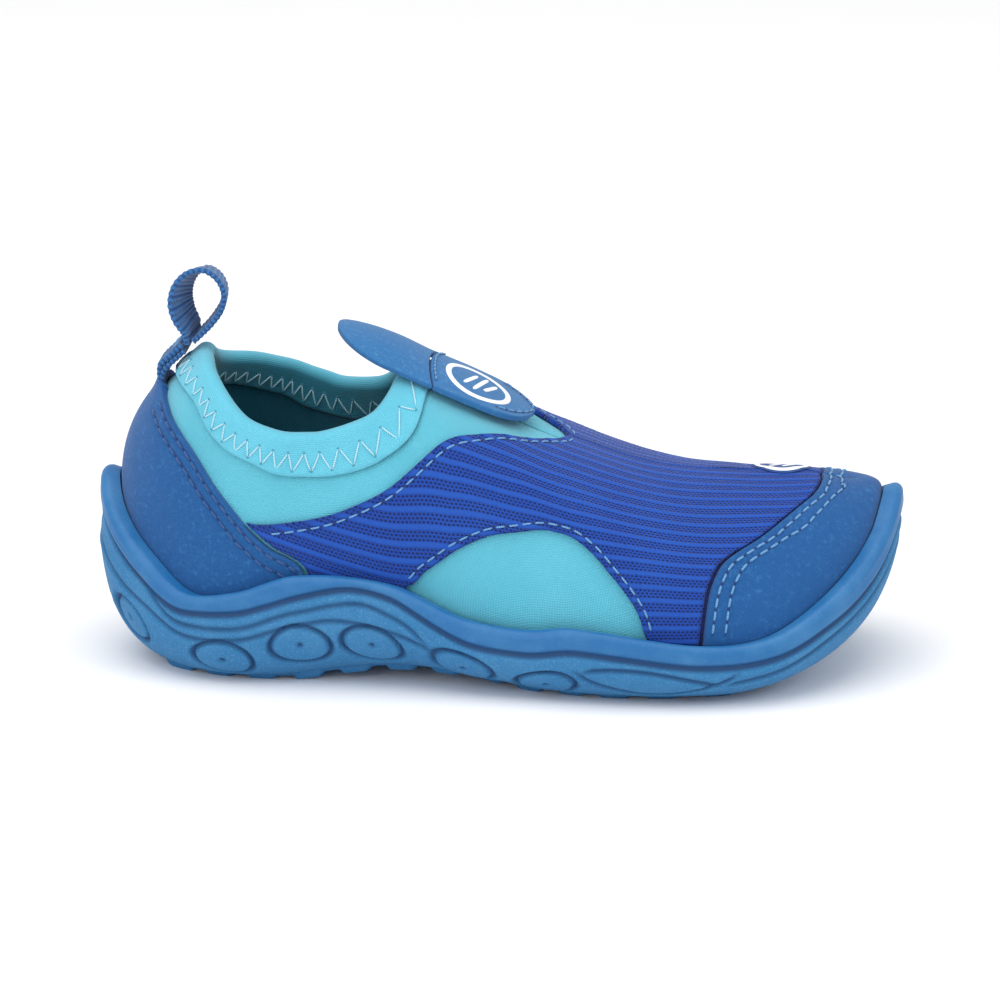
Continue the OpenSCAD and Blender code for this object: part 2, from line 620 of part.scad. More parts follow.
// Point of the tab: s along it from 0 to 1, w across it from -1 to 1, lift along its normal.
function tab_point(s, w, lift) =
  let (
    r = tab_len / ((tab_start - tab_end) * PI / 180),
    angle = lerp(tab_start, tab_end, s),
    back = r * (sin(tab_start) - sin(angle)),
    climb = r * (cos(angle) - cos(tab_start)),
    end = pow((s - tab_full) / (1 - tab_full), 2),
    half = tab_half_w * (s < tab_full ? lerp(.96, 1, s / tab_full) : sqrt(1 - end)),
    swing = 180 / PI * half * w / tab_round,
    depth = (tab_round + lift) * cos(swing) - tab_round
  )
  tab_hinge + [depth * sin(angle) - back, (tab_round + lift) * sin(swing), depth * cos(angle) + climb];
module pull_tab() {
  columns = 12;
  half_rows = 6;
  first = tab_gap / tab_len;
  grid = function (lift) [for (i = [0:columns]) [for (j = [-half_rows:half_rows])
    tab_point(lerp(first, .992, i / columns), j / half_rows, lift)]];
  m = 2 * half_rows + 1;
  color([.36, .6, .77])
    wall(grid(tab_t / 2), grid(-tab_t / 2), function (i, j) i * m + j, flip = true);
}

// Round badges that follow the surface under them.
module badge(u, v, r_in, r_out, low) {
  turns = 36;
  rings = r_in > 0 ? 1 : 4;
  per_u = norm(skin(over_ridge(u + .01, v), 0) - skin(over_ridge(u - .01, v), 0)) / .02;
  per_v = norm(skin(over_ridge(u, v + .01), 0) - skin(over_ridge(u, v - .01), 0)) / .02;
  places = [for (i = [0:turns]) [for (j = [0:rings])
    let (a = 360 * i / turns, r = lerp(r_in, r_out, j / rings))
    over_ridge(u + r * cos(a) / per_u, v + r * sin(a) / per_v)]];
  m = rings + 1;
  at = function (i, j) j == 0 && r_in == 0 ? 0 : (i % turns) * m + j;
  shut = function (i, j, edge)
    (edge == 1 && i == turns - 1) || (edge == 3 && i == 0) || (edge == 0 && j == 0 && r_in == 0);
  panel(places, low + badge_t, low, at, shut, flip = true);
}
tongue_badge_u = 0.548;
tongue_badge_v = -0.03;
vamp_badge_u = 0.85;
vamp_badge_v = 0.12;
vamp_badge_r = 6;
module tongue_badge() {
  color([.92, .95, .97])
    badge(tongue_badge_u, tongue_badge_v, badge_r - badge_ring_w, badge_r, patch_out + thread_lift);
}
module vamp_badge() {
  color([.92, .95, .97]) badge(vamp_badge_u, vamp_badge_v, 0, vamp_badge_r, overlay_out + thread_lift);
}

// Rows of stitching, each one line of thread.
row_steps = 24;
module toe_cap_stitching() {
  color([.25, .5, .75])
    for (in = [.012, .032])
      thread_line([for (j = [-row_steps:row_steps])
        let (p = over_ridge(0, .98 * j / row_steps))
        [curve(cap_edge, p[1]) + in, p[1], p[2]]], panel_out + thread_lift);
}
module heel_counter_stitching() {
  color([.13, .25, .55])
    for (side = [-1, 1], in = [.008, .03])
      thread_line([for (j = [0:row_steps])
        let (t = lerp(.02, .62, j / row_steps))
        [curve(counter_edge, t) - in, t, side]], panel_out + thread_lift);
}
mesh_stitch_in = 0.035;
module mesh_stitching() {
  color([.45, .68, .9])
    for (side = [-1, 1])
      thread_line([for (j = [0:row_steps])
        let (u = lerp(.285, .615, j / row_steps))
        [u + .004, curve(mesh_edge, u) - mesh_stitch_in, side]], overlay_out + thread_lift);
}
window_mid = 0.54;
module window_stitching() {
  color([.45, .68, .9])
    for (side = [-1, 1])
      thread_line([for (j = [0:row_steps])
        let (u = lerp(.436, .631, j / row_steps))
        [window_mid + (u - window_mid) * 1.07, curve(window_edge, u) + mesh_stitch_in, side]],
        overlay_out + thread_lift);
}
patch_stitch_in = 0.03;
module patch_stitching() {
  color([.55, .75, .88])
    thread_line([for (j = [-row_steps:row_steps])
      let (u = lerp(.588, .512, abs(j) / row_steps), v = max(curve(patch_edge, u) - patch_stitch_in, .012))
      over_ridge(u, j < 0 ? -v : v)], patch_out + thread_lift);
}
module tab_seam() {
  seam_half = 0.165;
  color([.55, .75, .88])
    thread_line([for (j = [-5:5]) over_ridge(patch_rear + .004, seam_half * j / 5)], patch_out + thread_lift);
}

outsole();
strobel_board();
footbed_foam();
footbed_cloth();
neoprene_lateral();
neoprene_medial();
vamp_backing();
vamp_mesh();
toe_cap();
heel_counter();
collar_binding();
collar_zigzag();
lining_zigzag();
heel_loop_base();
heel_loop();
loop_bartack();
tongue_patch();
pull_tab();
tongue_badge();
vamp_badge();
toe_cap_stitching();
heel_counter_stitching();
mesh_stitching();
window_stitching();
patch_stitching();
tab_seam();
strobel_seam();
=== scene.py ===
import math
import bpy
import bmesh
import numpy as np
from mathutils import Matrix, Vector


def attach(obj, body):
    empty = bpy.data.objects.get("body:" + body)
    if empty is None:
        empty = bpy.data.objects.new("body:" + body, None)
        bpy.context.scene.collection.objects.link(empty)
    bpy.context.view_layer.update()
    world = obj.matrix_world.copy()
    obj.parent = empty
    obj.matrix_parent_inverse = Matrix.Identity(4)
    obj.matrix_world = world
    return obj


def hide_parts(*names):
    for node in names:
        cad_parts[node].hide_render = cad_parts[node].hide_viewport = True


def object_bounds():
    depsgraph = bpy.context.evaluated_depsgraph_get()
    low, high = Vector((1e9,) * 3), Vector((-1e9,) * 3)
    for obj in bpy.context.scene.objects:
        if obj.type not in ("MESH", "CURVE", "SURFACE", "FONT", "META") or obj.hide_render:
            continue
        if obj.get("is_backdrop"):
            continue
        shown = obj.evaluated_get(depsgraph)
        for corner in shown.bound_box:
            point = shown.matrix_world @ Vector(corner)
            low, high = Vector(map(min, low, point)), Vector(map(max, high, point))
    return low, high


# Child's slip-on water shoe, right foot. Lengths below are in millimetres until makePiece puts them into metres.
# +X is the toe, -Y the outer side, +Z up. Every panel is laid out on one last surface:
# u runs from heel to toe, t from the sole's rim up to the top line, side is -1 outer, 1 inner.

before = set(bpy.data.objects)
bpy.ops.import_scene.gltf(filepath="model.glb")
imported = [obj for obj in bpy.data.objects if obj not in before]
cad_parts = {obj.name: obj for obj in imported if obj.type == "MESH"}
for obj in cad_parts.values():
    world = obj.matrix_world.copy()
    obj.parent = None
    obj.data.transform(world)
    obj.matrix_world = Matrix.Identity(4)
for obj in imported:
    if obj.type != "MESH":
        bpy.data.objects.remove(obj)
cadLow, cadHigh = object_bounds()

last = {
    "halfLength": 80, "rim": 3.6, "bead": 5.0, "soleUnder": 5.0, "cupGap": 0.45, "medialRise": 3.5, "landing": 9.0,
    "halfWidth": [(0, 43), (.2, 37.5), (.4, 28), (.5, 29), (.6, 34.5), (.8, 44), (1, 47)],
    "rimTop": [(0, 37), (.04, 35.6), (.08, 32.4), (.16, 25), (.22, 19), (.28, 20), (.34, 24), (.42, 22.5),
               (.48, 16.5), (.53, 15), (.57, 16), (.68, 13), (.75, 14), (.82, 20), (.92, 30), (.96, 33.8), (1, 35.5)],
    "sideRound": [(0, 9), (.12, 11), (.25, 12), (.5, 11), (.62, 10), (.75, 13), (.9, 17), (1, 18)],
    "treadLine": [(-80, 6), (-72, 1.8), (-60, .2), (-50, 0), (-40, .3), (-30, 1.8), (-20, 2.8), (-10, 2.6), (0, 1.3),
                  (10, .3), (20, 0), (42, 0), (50, .8), (57, 2.6), (64, 5.8), (70, 9.6), (80, 18)],
    "floorRise": [(-80, 3.5), (-50, 3), (-20, 2.4), (10, .2), (20, 0), (80, 0)],
    "topLine": [(0, -59, 65), (.1, -55.5, 66.5), (.2, -46, 68), (.3, -36, 69), (.4, -27, 67), (.5, -15, 61.3),
                (.55, -4.5, 56), (.6, 7, 49.8), (.7, 29, 42), (.8, 47, 40.2), (.9, 60, 40), (1, 67, 38.4)],
    "collarWidth": [(0, 13), (.15, 15.5), (.3, 17), (.42, 10), (.5, 0)],
    "fullness": [(0, .4, .35, 0), (.2, .4, .33, 0), (.4, .42, .34, 0), (.5, .45, .37, .05), (.6, .45, .45, .1),
                 (.8, .4, .45, .12), (1, .4, .42, .05)],
    "topTurn": [(-.1, 205, 50), (0, 180, 41), (.1, 155, 50), (.25, 110, 68), (.4, 90, 50), (.46, 90, 16),
                (.5, 90, 4), (.6, 90, 2), (.7, 90, 3), (.82, 78, 7), (.92, 42, 10), (1, 0, 12), (1.08, -42, 10)],
}
edges = {
    "collar": [(-.1, -.06, .915), (0, 0, .94), (.1, .06, .915), (.2, .12, .83), (.35, .185, .705), (.5, .25, .625),
               (.65, .32, .55), (.75, .36, .55), (.85, .415, .64), (.93, .46, .8), (1, .485, 1), (1.07, .46, 1.2)],
    "binding": [(-.1, -.06, .74), (0, 0, .75), (.1, .06, .74), (.2, .125, .7), (.35, .18, .59), (.5, .25, .51),
                (.65, .32, .4), (.75, .37, .39), (.85, .42, .47), (.93, .475, .64), (1, .515, 1), (1.07, .475, 1.36)],
    "counter": [(-.6, .345), (0, .338), (.12, .305), (.21, .28), (.34, .24), (.44, .195), (.52, .145),
                (.59, .095), (.66, .05)],
    "cap": [(-.6, .685), (0, .688), (.1, .693), (.2, .703), (.29, .718), (.35, .733), (.4, .755), (.44, .78),
            (.5, .81), (.565, .838), (.65, .873), (.84, .917), (1, .943), (1.1, .965)],
    "mesh": [(.26, .26), (.28, .237), (.328, .2), (.36, .217), (.39, .27), (.42, .346), (.45, .438), (.48, .525),
             (.51, .6), (.54, .675), (.575, .775), (.605, .872), (.623, .94), (.632, 1)],
    "window": [(.43, 0), (.448, .08), (.475, .18), (.505, .245), (.53, .278), (.555, .302), (.57, .308), (.585, .305),
               (.598, .263), (.608, .2), (.618, .142), (.628, .07), (.634, 0)],
    "patch": [(.49, .19), (.508, .205), (.54, .2), (.56, .185), (.578, .14), (.592, .07), (.597, .01)],
}
# Levels of the layers along the last's normal, outwards positive.
levels = {"overlayOut": -.1, "panelOut": .1, "overlayIn": -1.0, "neopreneOut": -1.25, "jerseyIn": -2.7,
          "liningOut": -2.72, "neopreneIn": -3.25,
          "leafIn": -1.0, "leafOut": -.3, "innerLeafOut": -3.5, "innerLeafIn": -4.2, "patchIn": .605, "patchOut": 1.805,
          "baseIn": .605, "baseOut": 3.005}


# Straight blend: all of a at 0, all of b at 1.
def mix(a, b, k):
    return a * (1 - k) + b * k


# Cubic Hermite curve through a table of keys, each slope taken from the two keys beside it.
def splineThrough(keys, at):
    keys = np.array(keys, float)
    x, y = keys[:, 0], keys[:, 1:]
    slope = np.zeros_like(y)
    slope[1:-1] = (y[2:] - y[:-2]) / (x[2:] - x[:-2])[:, None]
    at = np.asarray(at, float)
    i = np.clip(np.searchsorted(x, at, side="right"), 1, len(x) - 1)
    h = (x[i] - x[i - 1])[..., None]
    s = np.clip((at - x[i - 1])[..., None] / h, 0, 1)
    return ((2 * s**3 - 3 * s**2 + 1) * y[i - 1] + (s**3 - 2 * s**2 + s) * h * slope[i - 1]
            + (3 * s**2 - 2 * s**3) * y[i] + (s**3 - s**2) * h * slope[i])


# The same curve for a table with one value to a key.
def curveThrough(keys, at):
    return splineThrough(keys, at)[..., 0]


# Vectors divided by their length.
def unitRows(v):
    return v / np.maximum(np.linalg.norm(v, axis=-1, keepdims=True), 1e-9)


# The centre line bends towards the inner side with the square of the distance ahead of the waist.
def centreY(x):
    return 5.5 * (np.maximum(x + 20, 0) / 100) ** 2


# Place along the shoe: a cosine over the half length, less the inset.
def planX(u, inset):
    return -(last["halfLength"] - inset) * np.cos(np.pi * u)


# Outline of the sole seen from above: x from a cosine, half width times a sine, set in by inset.
def plan(u, side, inset):
    x = planX(u, inset)
    return x, centreY(x) + side * (curveThrough(last["halfWidth"], u) - inset) * np.sin(np.pi * u)


probe = np.linspace(0, 1, 51)
sideShift = (plan(probe, 1, 0)[1].max() + plan(probe, -1, 0)[1].min()) / 2
rimClear = last["rim"] + last["cupGap"]


# Height of the cup's floor: sole thickness, floor rise and tread line added.
def floorZ(x):
    return (last["soleUnder"] + curveThrough(last["floorRise"], x)
            + np.maximum(curveThrough(last["treadLine"], x), 0))


# Set-in of the cup's wall: rim clearance plus most of the side rounding, growing downwards as a quarter cosine.
def cupInset(u, level):
    return rimClear + .8 * curveThrough(last["sideRound"], u) * (1 - np.cos(np.pi / 2 * level))


# Inside of the cup of the sole: a quarter wave from the rim's top down to the floor.
def cupPoint(u, level, side):
    x, y = plan(u, side, cupInset(u, level))
    low = floorZ(planX(u, cupInset(u, 1)))
    return np.stack([x, y, mix(curveThrough(last["rimTop"], u), low, np.sin(np.pi / 2 * level))], -1)


# A section of the upper is a cubic Bezier curve from the rim to the top line.
def sectionPoint(u, t, side):
    fx, fy = plan(u, side, rimClear)
    foot = np.stack([fx, fy, curveThrough(last["rimTop"], u)], -1)
    line = splineThrough(last["topLine"], u)
    tube = np.maximum(curveThrough(last["collarWidth"], u), 0) * np.sin(2 * np.pi * np.minimum(u, .5))
    top = np.stack([line[..., 0], centreY(line[..., 0]) + side * tube, line[..., 1]], -1)
    full = splineThrough(last["fullness"], u)
    turn = np.radians(splineThrough(last["topTurn"], u))
    ax, ay = plan(np.minimum(u + .002, 1), side, rimClear)
    bx, by = plan(np.maximum(u - .002, 0), side, rimClear)
    out = unitRows(np.stack([side * (ay - by), -side * (ax - bx), 0 * ax], -1))
    rise = unitRows(np.array([0, 0, 1.0]) + full[..., 2:3] * out)
    fall = np.stack([np.cos(turn[..., 0]) * np.cos(turn[..., 1]), side * np.sin(turn[..., 0]) * np.cos(turn[..., 1]),
                     -np.sin(turn[..., 1])], -1)
    chord = np.linalg.norm(top - foot, axis=-1, keepdims=True)
    lower = foot + rise * chord * full[..., 0:1]
    upper = top + fall * chord * full[..., 1:2]
    k = t[..., None]
    return foot * (1 - k)**3 + 3 * lower * k * (1 - k)**2 + 3 * upper * k * k * (1 - k) + top * k**3


# Positive t is on the section, negative t inside the cup.
def lastPoint(u, t, side):
    u, t, side = np.broadcast_arrays(np.asarray(u, float), np.asarray(t, float), np.asarray(side, float))
    above = sectionPoint(u, np.clip(t, 0, 1), side)
    below = cupPoint(u, np.clip(-t, 0, 1), side)
    return np.where((t < 0)[..., None], below, above)


# Normal from the cross product of small steps along and up; both halves are averaged on the centre line.
def rawNormal(u, t, side):
    q = np.minimum(t, .98)
    along = lastPoint(np.minimum(u + .002, 1), q, side) - lastPoint(np.maximum(u - .002, 0), q, side)
    up = lastPoint(u, q + .002, side) - lastPoint(u, np.maximum(q - .002, -1), side)
    return unitRows(-side[..., None] * np.cross(along, up))


# Own normal, blended to the mean of both halves near the centre line, heel and toe.
def lastNormal(u, t, side):
    u, t, side = np.broadcast_arrays(np.asarray(u, float), np.asarray(t, float), np.asarray(side, float))
    own = rawNormal(u, t, side)
    both = unitRows(rawNormal(u, t, side * 0 - 1) + rawNormal(u, t, side * 0 + 1))
    near = np.maximum(np.clip(1 - (1 - t) / .03, 0, 1), np.maximum(np.clip(1 - u / .012, 0, 1),
                                                                  np.clip(1 - (1 - u) / .012, 0, 1)))[..., None]
    return unitRows(mix(own, both, near))


# A point lifted off the last along its normal.
def skin(u, t, side, lift):
    lift = np.asarray(lift, float)[..., None]
    return lastPoint(u, t, side) + lift * lastNormal(u, t, side)


# v counts from the ridge over the instep, negative on the outer side; h counts round the heel the same way.
def overRidge(u, v):
    return u, 1 - np.abs(v), np.where(v < 0, -1.0, 1.0)


def roundHeel(h, t):
    return np.abs(h), t, np.where(h < 0, -1.0, 1.0)


# Running length of a polyline, or of every row of a grid, from its first point.
def runLength(points, axis=0):
    step = np.linalg.norm(np.diff(points, axis=axis), axis=-1)
    zero = np.zeros_like(np.take(step, [0], axis=axis))
    return np.concatenate([zero, np.cumsum(step, axis=axis)], axis)


# Shortest distance from every point of a grid to a line of points, and the run of the line there.
def distanceTo(points, line):
    flat = points.reshape(-1, 3).astype(np.float32)
    line = line.astype(np.float32)
    run = runLength(line)
    best, place = np.empty(len(flat), np.float32), np.empty(len(flat), np.int64)
    for start in range(0, len(flat), 6000):
        part = flat[start:start + 6000]
        square = (part**2).sum(1)[:, None] - 2 * part @ line.T + (line**2).sum(1)[None]
        place[start:start + 6000] = square.argmin(1)
        best[start:start + 6000] = np.sqrt(np.maximum(square.min(1), 0))
    return best.reshape(points.shape[:-1]), run[place].reshape(points.shape[:-1])


# A line of places moved s millimetres across itself within the surface, by the inverse of the surface's metric.
def insetLine(u, t, side, s):
    e = .001
    base = lastPoint(u, t, side)
    pu = (lastPoint(u + e, t, side) - lastPoint(u - e, t, side)) / (2 * e)
    high = np.minimum(t + e, 1)
    pt = (lastPoint(u, high, side) - lastPoint(u, t - e, side)) / (high - t + e)[..., None]
    across = unitRows(np.cross(lastNormal(u, t, side), np.gradient(base, axis=0)))
    uu, uv, vv = (pu * pu).sum(-1), (pu * pt).sum(-1), (pt * pt).sum(-1)
    bu, bv = (across * pu).sum(-1), (across * pt).sum(-1)
    det = uu * vv - uv * uv
    return u + s * (vv * bu - uv * bv) / det, t + s * (uu * bv - uv * bu) / det


# Quads of an n by m grid; a wrapped direction joins its last row to its first.
def gridFaces(n, m, wrapI=False, wrapJ=False):
    i = np.arange(n if wrapI else n - 1)[:, None]
    j = np.arange(m if wrapJ else m - 1)[None]
    a, b = i * m + j, (i + 1) % n * m + j
    c, d = (i + 1) % n * m + (j + 1) % m, i * m + (j + 1) % m
    return np.stack(np.broadcast_arrays(a, b, c, d), -1).reshape(-1, 4)


# Stations from 0 to 1 over a length, close together near both ends where the edge is rolled.
def stations(length, step, fine=(0, .06, .16, .3, .5, .8)):
    near = np.array(fine) / length
    count = max(int((length - 2 * fine[-1]) / step), 2)
    return np.concatenate([near[:-1], np.linspace(near[-1], 1 - near[-1], count), 1 - near[:-1][::-1]])


# Points in millimetres become a closed mesh in metres; doubles are merged, faces turned out by the volume's sign.
def makePiece(name, points, faces, look, stands=(), body="shoe", values=None, sharp=50):
    place = (np.asarray(points, float).reshape(-1, 3) - [0, sideShift, 0]) * .001
    mesh = bpy.data.meshes.new(name)
    mesh.from_pydata(place.tolist(), [], faces if isinstance(faces, list) else faces.tolist())
    for key, data in (values or {}).items():
        data = np.asarray(data, np.float32)
        wide = data.shape[-1] == 3 and data.size == place.size
        layer = mesh.attributes.new(key, "FLOAT_VECTOR" if wide else "FLOAT", "POINT")
        layer.data.foreach_set("vector" if wide else "value", data.ravel())
    work = bmesh.new()
    work.from_mesh(mesh)
    bmesh.ops.remove_doubles(work, verts=work.verts, dist=2e-6)
    if work.calc_volume(signed=True) < 0:
        bmesh.ops.reverse_faces(work, faces=work.faces)
    work.to_mesh(mesh)
    work.free()
    mesh.polygons.foreach_set("use_smooth", np.ones(len(mesh.polygons), bool))
    mesh.set_sharp_from_angle(angle=math.radians(sharp))
    mesh.materials.append(look)
    piece = bpy.data.objects.new(name, mesh)
    bpy.context.scene.collection.objects.link(piece)
    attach(piece, body)
    if stands:
        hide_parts(*stands)
    return piece


# Two skins of one grid with walls along the named rims; each rim is (edge, first, end) on the grid's own rows.
def shellFaces(n, m, rims):
    outer = gridFaces(n, m)
    back = n * m
    faces = [outer, outer[:, ::-1] + back]
    index = np.arange(back).reshape(n, m)
    lines = {"rear": index[0], "front": index[-1], "low": index[:, 0], "high": index[:, -1]}
    for edge, first, end in rims:
        line = lines[edge][first:end]
        a, b = (line[:-1], line[1:]) if edge in ("rear", "high") else (line[1:], line[:-1])
        faces.append(np.stack([a, b, b + back, a + back], -1))
    return np.concatenate(faces)


# Places on the cloth in millimetres: run along the last at this height, and run up the section.
latticeRows, latticeHalf = 240, 60
latticeU, latticeT = np.linspace(0, 1, latticeRows + 1), np.linspace(-1, 1, 2 * latticeHalf + 1)
clothLattice = {}
for half in (-1, 1):
    lattice = lastPoint(latticeU[:, None], latticeT[None, :], half)
    alongRun, upRun = runLength(lattice, 0), runLength(lattice, 1)
    clothLattice[half] = (alongRun - alongRun[latticeRows // 2:latticeRows // 2 + 1],
                          upRun - upRun[:, latticeHalf:latticeHalf + 1], upRun[:, -1:] - upRun)


# Bilinear reading of one of the three run lattices.
def clothRun(which, u, t, side):
    fu = np.clip(u, 0, 1) * latticeRows
    ft = (np.clip(t, -1, 1) + 1) * latticeHalf
    i, j = np.minimum(fu.astype(int), latticeRows - 1), np.minimum(ft.astype(int), 2 * latticeHalf - 1)
    a, b = fu - i, ft - j
    out = []
    for half in (-1, 1):
        grid = clothLattice[half][which]
        out.append(mix(mix(grid[i, j], grid[i + 1, j], a), mix(grid[i, j + 1], grid[i + 1, j + 1], a), b))
    return np.where(side < 0, out[0], out[1])


# The run along, the run up and the side, as one attribute for the materials.
def clothPlace(u, t, side):
    return np.stack([side * clothRun(0, u, t, side), clothRun(1, u, t, side), side * 1.0], -1)


# Closed panel of even thickness; lines pulls it in along seams, relief adds millimetres to the outer skin.
def panelPiece(name, u, t, side, outer, inner, rims, look, stands=(), roll=.45, seams=(), relief=0,
               cloth=None, values=None):
    u, t, side = np.broadcast_arrays(u, t, np.asarray(side, float))
    n, m = u.shape
    base, out = lastPoint(u, t, side), lastNormal(u, t, side)
    edge = np.full((n, m), 99.0)
    rows = {"rear": base[0], "front": base[-1], "low": base[:, 0], "high": base[:, -1]}
    for which, first, end in rims:
        edge = np.minimum(edge, distanceTo(base, rows[which][first:end])[0])
    sink = roll * (1 - np.sqrt(1 - np.clip(1 - edge / roll, 0, 1)**2))
    lift = outer - sink + relief
    for line, width, depth, pitch in seams:
        away, run = distanceTo(base, line)
        pucker = .72 + .28 * np.cos(2 * np.pi * run / pitch)
        lift = lift - depth * pucker * np.exp(-(away / width)**2)
    low = np.minimum(inner, lift - .05)
    points = np.concatenate([(base + level[..., None] * out).reshape(-1, 3) for level in (lift, low)])
    place = clothPlace(u, t, side) if cloth is None else cloth
    tags = {"cloth": np.concatenate([place.reshape(-1, 3)] * 2), "rim": np.concatenate([edge.ravel()] * 2)}
    for key, data in (values or {}).items():
        tags[key] = np.concatenate([data.reshape(n * m, -1)] * 2).squeeze()
    return makePiece(name, points, shellFaces(n, m, rims), look, stands, values=tags)


# Threads: K short runs of thread, each a tapered tube of seven rings that rises out of the cloth and dips back.
def threadMesh(path, out, radius, arch, flat=1.0, sides=6):
    count, rings = path.shape[:2]
    x = np.linspace(-1, 1, rings)
    along = unitRows(np.gradient(path, axis=1))
    wide = unitRows(np.cross(along, out))
    girth = radius * np.sqrt(np.maximum(1 - x**6, 0))
    centre = path + (arch * (1 - x**4))[None, :, None] * out
    turn = np.arange(sides) * 2 * np.pi / sides
    ring = (np.cos(turn)[None, None, :, None] * wide[:, :, None]
            + flat * np.sin(turn)[None, None, :, None] * out[:, :, None])
    points = centre[:, :, None] + girth[None, :, None, None] * ring
    faces = gridFaces(rings, sides, wrapJ=True)
    faces = (faces[None] + (np.arange(count) * rings * sides)[:, None, None]).reshape(-1, 4)
    run = runLength(path, 1)[:, :, None] + 0 * turn[None, None, :]
    which = np.broadcast_to(np.arange(count)[:, None, None], run.shape)
    cloth = np.stack([run, np.broadcast_to(turn, run.shape), which], -1)
    return points.reshape(-1, 3), faces, cloth.reshape(-1, 3)


# Cuts a line into stitches of one pitch; each covers its share of the pitch.
def stitchRuns(line, out, pitch, cover, shift=.5, rings=7):
    run = runLength(line)
    count = max(int(round(run[-1] / pitch)), 1)
    at = (np.arange(count)[:, None] + shift + np.linspace(-.5, .5, rings)[None] * cover) * run[-1] / count
    at = np.clip(at, 0, run[-1])
    take = lambda data: np.stack([np.interp(at, run, data[:, k]) for k in range(3)], -1)
    return take(line), unitRows(take(out))


# Several thread meshes as one, with face numbers moved on.
def joinMeshes(parts):
    points, faces, cloths, start = [], [], [], 0
    for p, f, c in parts:
        points.append(p)
        faces.append(f + start)
        cloths.append(c)
        start += len(p)
    return np.concatenate(points), np.concatenate(faces), np.concatenate(cloths)


# Pitch, share of it that shows, thread radius, rise, hole radius; a seam's dent is its width, depth and pitch.
sewing = {"pitch": 2.6, "cover": .78, "radius": .24, "arch": .16, "hole": .3, "dent": (.6, .16, 2.6),
          "thinDent": (.55, .2, 2.6), "meshInset": 1.7, "windowInset": 1.5}


# Seams as separate stitches with a dark needle hole between each two.
def sewSeams(name, lines, look, stands=(), pitch=None, radius=None):
    pitch, radius = pitch or sewing["pitch"], radius or sewing["radius"]
    stitches, holes = [], []
    for line, out in lines:
        stitches.append(threadMesh(*stitchRuns(line, out, pitch, sewing["cover"]), radius, sewing["arch"]))
        holes.append(threadMesh(*stitchRuns(line, out, pitch, .2, 0, 5), sewing["hole"], .03, .25, 8))
    points, faces, cloth = joinMeshes(stitches)
    makePiece(name, points, faces, look, stands, values={"cloth": cloth})
    points, faces, cloth = joinMeshes(holes)
    makePiece(name + "Holes", points, faces, holeFinish, values={"cloth": cloth})


# A line of places s millimetres inside an edge of a panel, as points at a level with their normals.
def seamLine(u, t, side, s, level):
    a, b = insetLine(u, t, side, s)
    good = (b > -.05) & (b <= 1.0001)
    a, b = a[good], np.minimum(b[good], 1)
    return lastPoint(a, b, side) + level * lastNormal(a, b, side), lastNormal(a, b, side)


# Both seams run in the mesh: under its top edge, and round the outside of the window.
def edgeSeam(edge, u, side, level):
    inset = side * sewing["meshInset"] if edge == "mesh" else -side * sewing["windowInset"]
    return seamLine(u, curveThrough(edges[edge], u), side, inset, level)


# An sRGB colour of 0..255 as the linear numbers that a shader takes.
def paint(r, g, b):
    c = np.array([r, g, b]) / 255
    return tuple(np.where(c <= .04045, c / 12.92, ((c + .055) / 1.055)**2.4)) + (1.0,)


# One output of a node. Sums, differences, products and quotients of links add Math nodes.
class Link:
    def __init__(self, finish, socket):
        self.finish, self.socket = finish, socket

    def math(self, operation, *others):
        return self.finish.add("ShaderNodeMath", {"operation": operation}, dict(enumerate((self,) + others)))

    def __add__(self, other): return self.math("ADD", other)
    def __radd__(self, other): return self.math("ADD", other)
    def __sub__(self, other): return self.math("SUBTRACT", other)
    def __rsub__(self, other): return self.finish.number(other).math("SUBTRACT", self)
    def __mul__(self, other): return self.math("MULTIPLY", other)
    def __rmul__(self, other): return self.math("MULTIPLY", other)
    def __truediv__(self, other): return self.math("DIVIDE", other)
    def sin(self): return self.math("SINE")
    def cos(self): return self.math("COSINE")
    def floor(self): return self.math("FLOOR")
    def fraction(self): return self.math("FRACT")
    def root(self): return self.math("SQRT")

    # 0 below low, 1 above high, smooth between them.
    def step(self, low, high):
        return self.finish.add("ShaderNodeMapRange", {"interpolation_type": "SMOOTHSTEP", "clamp": True},
                               {"Value": self, "From Min": low, "From Max": high, "To Min": 0.0, "To Max": 1.0})


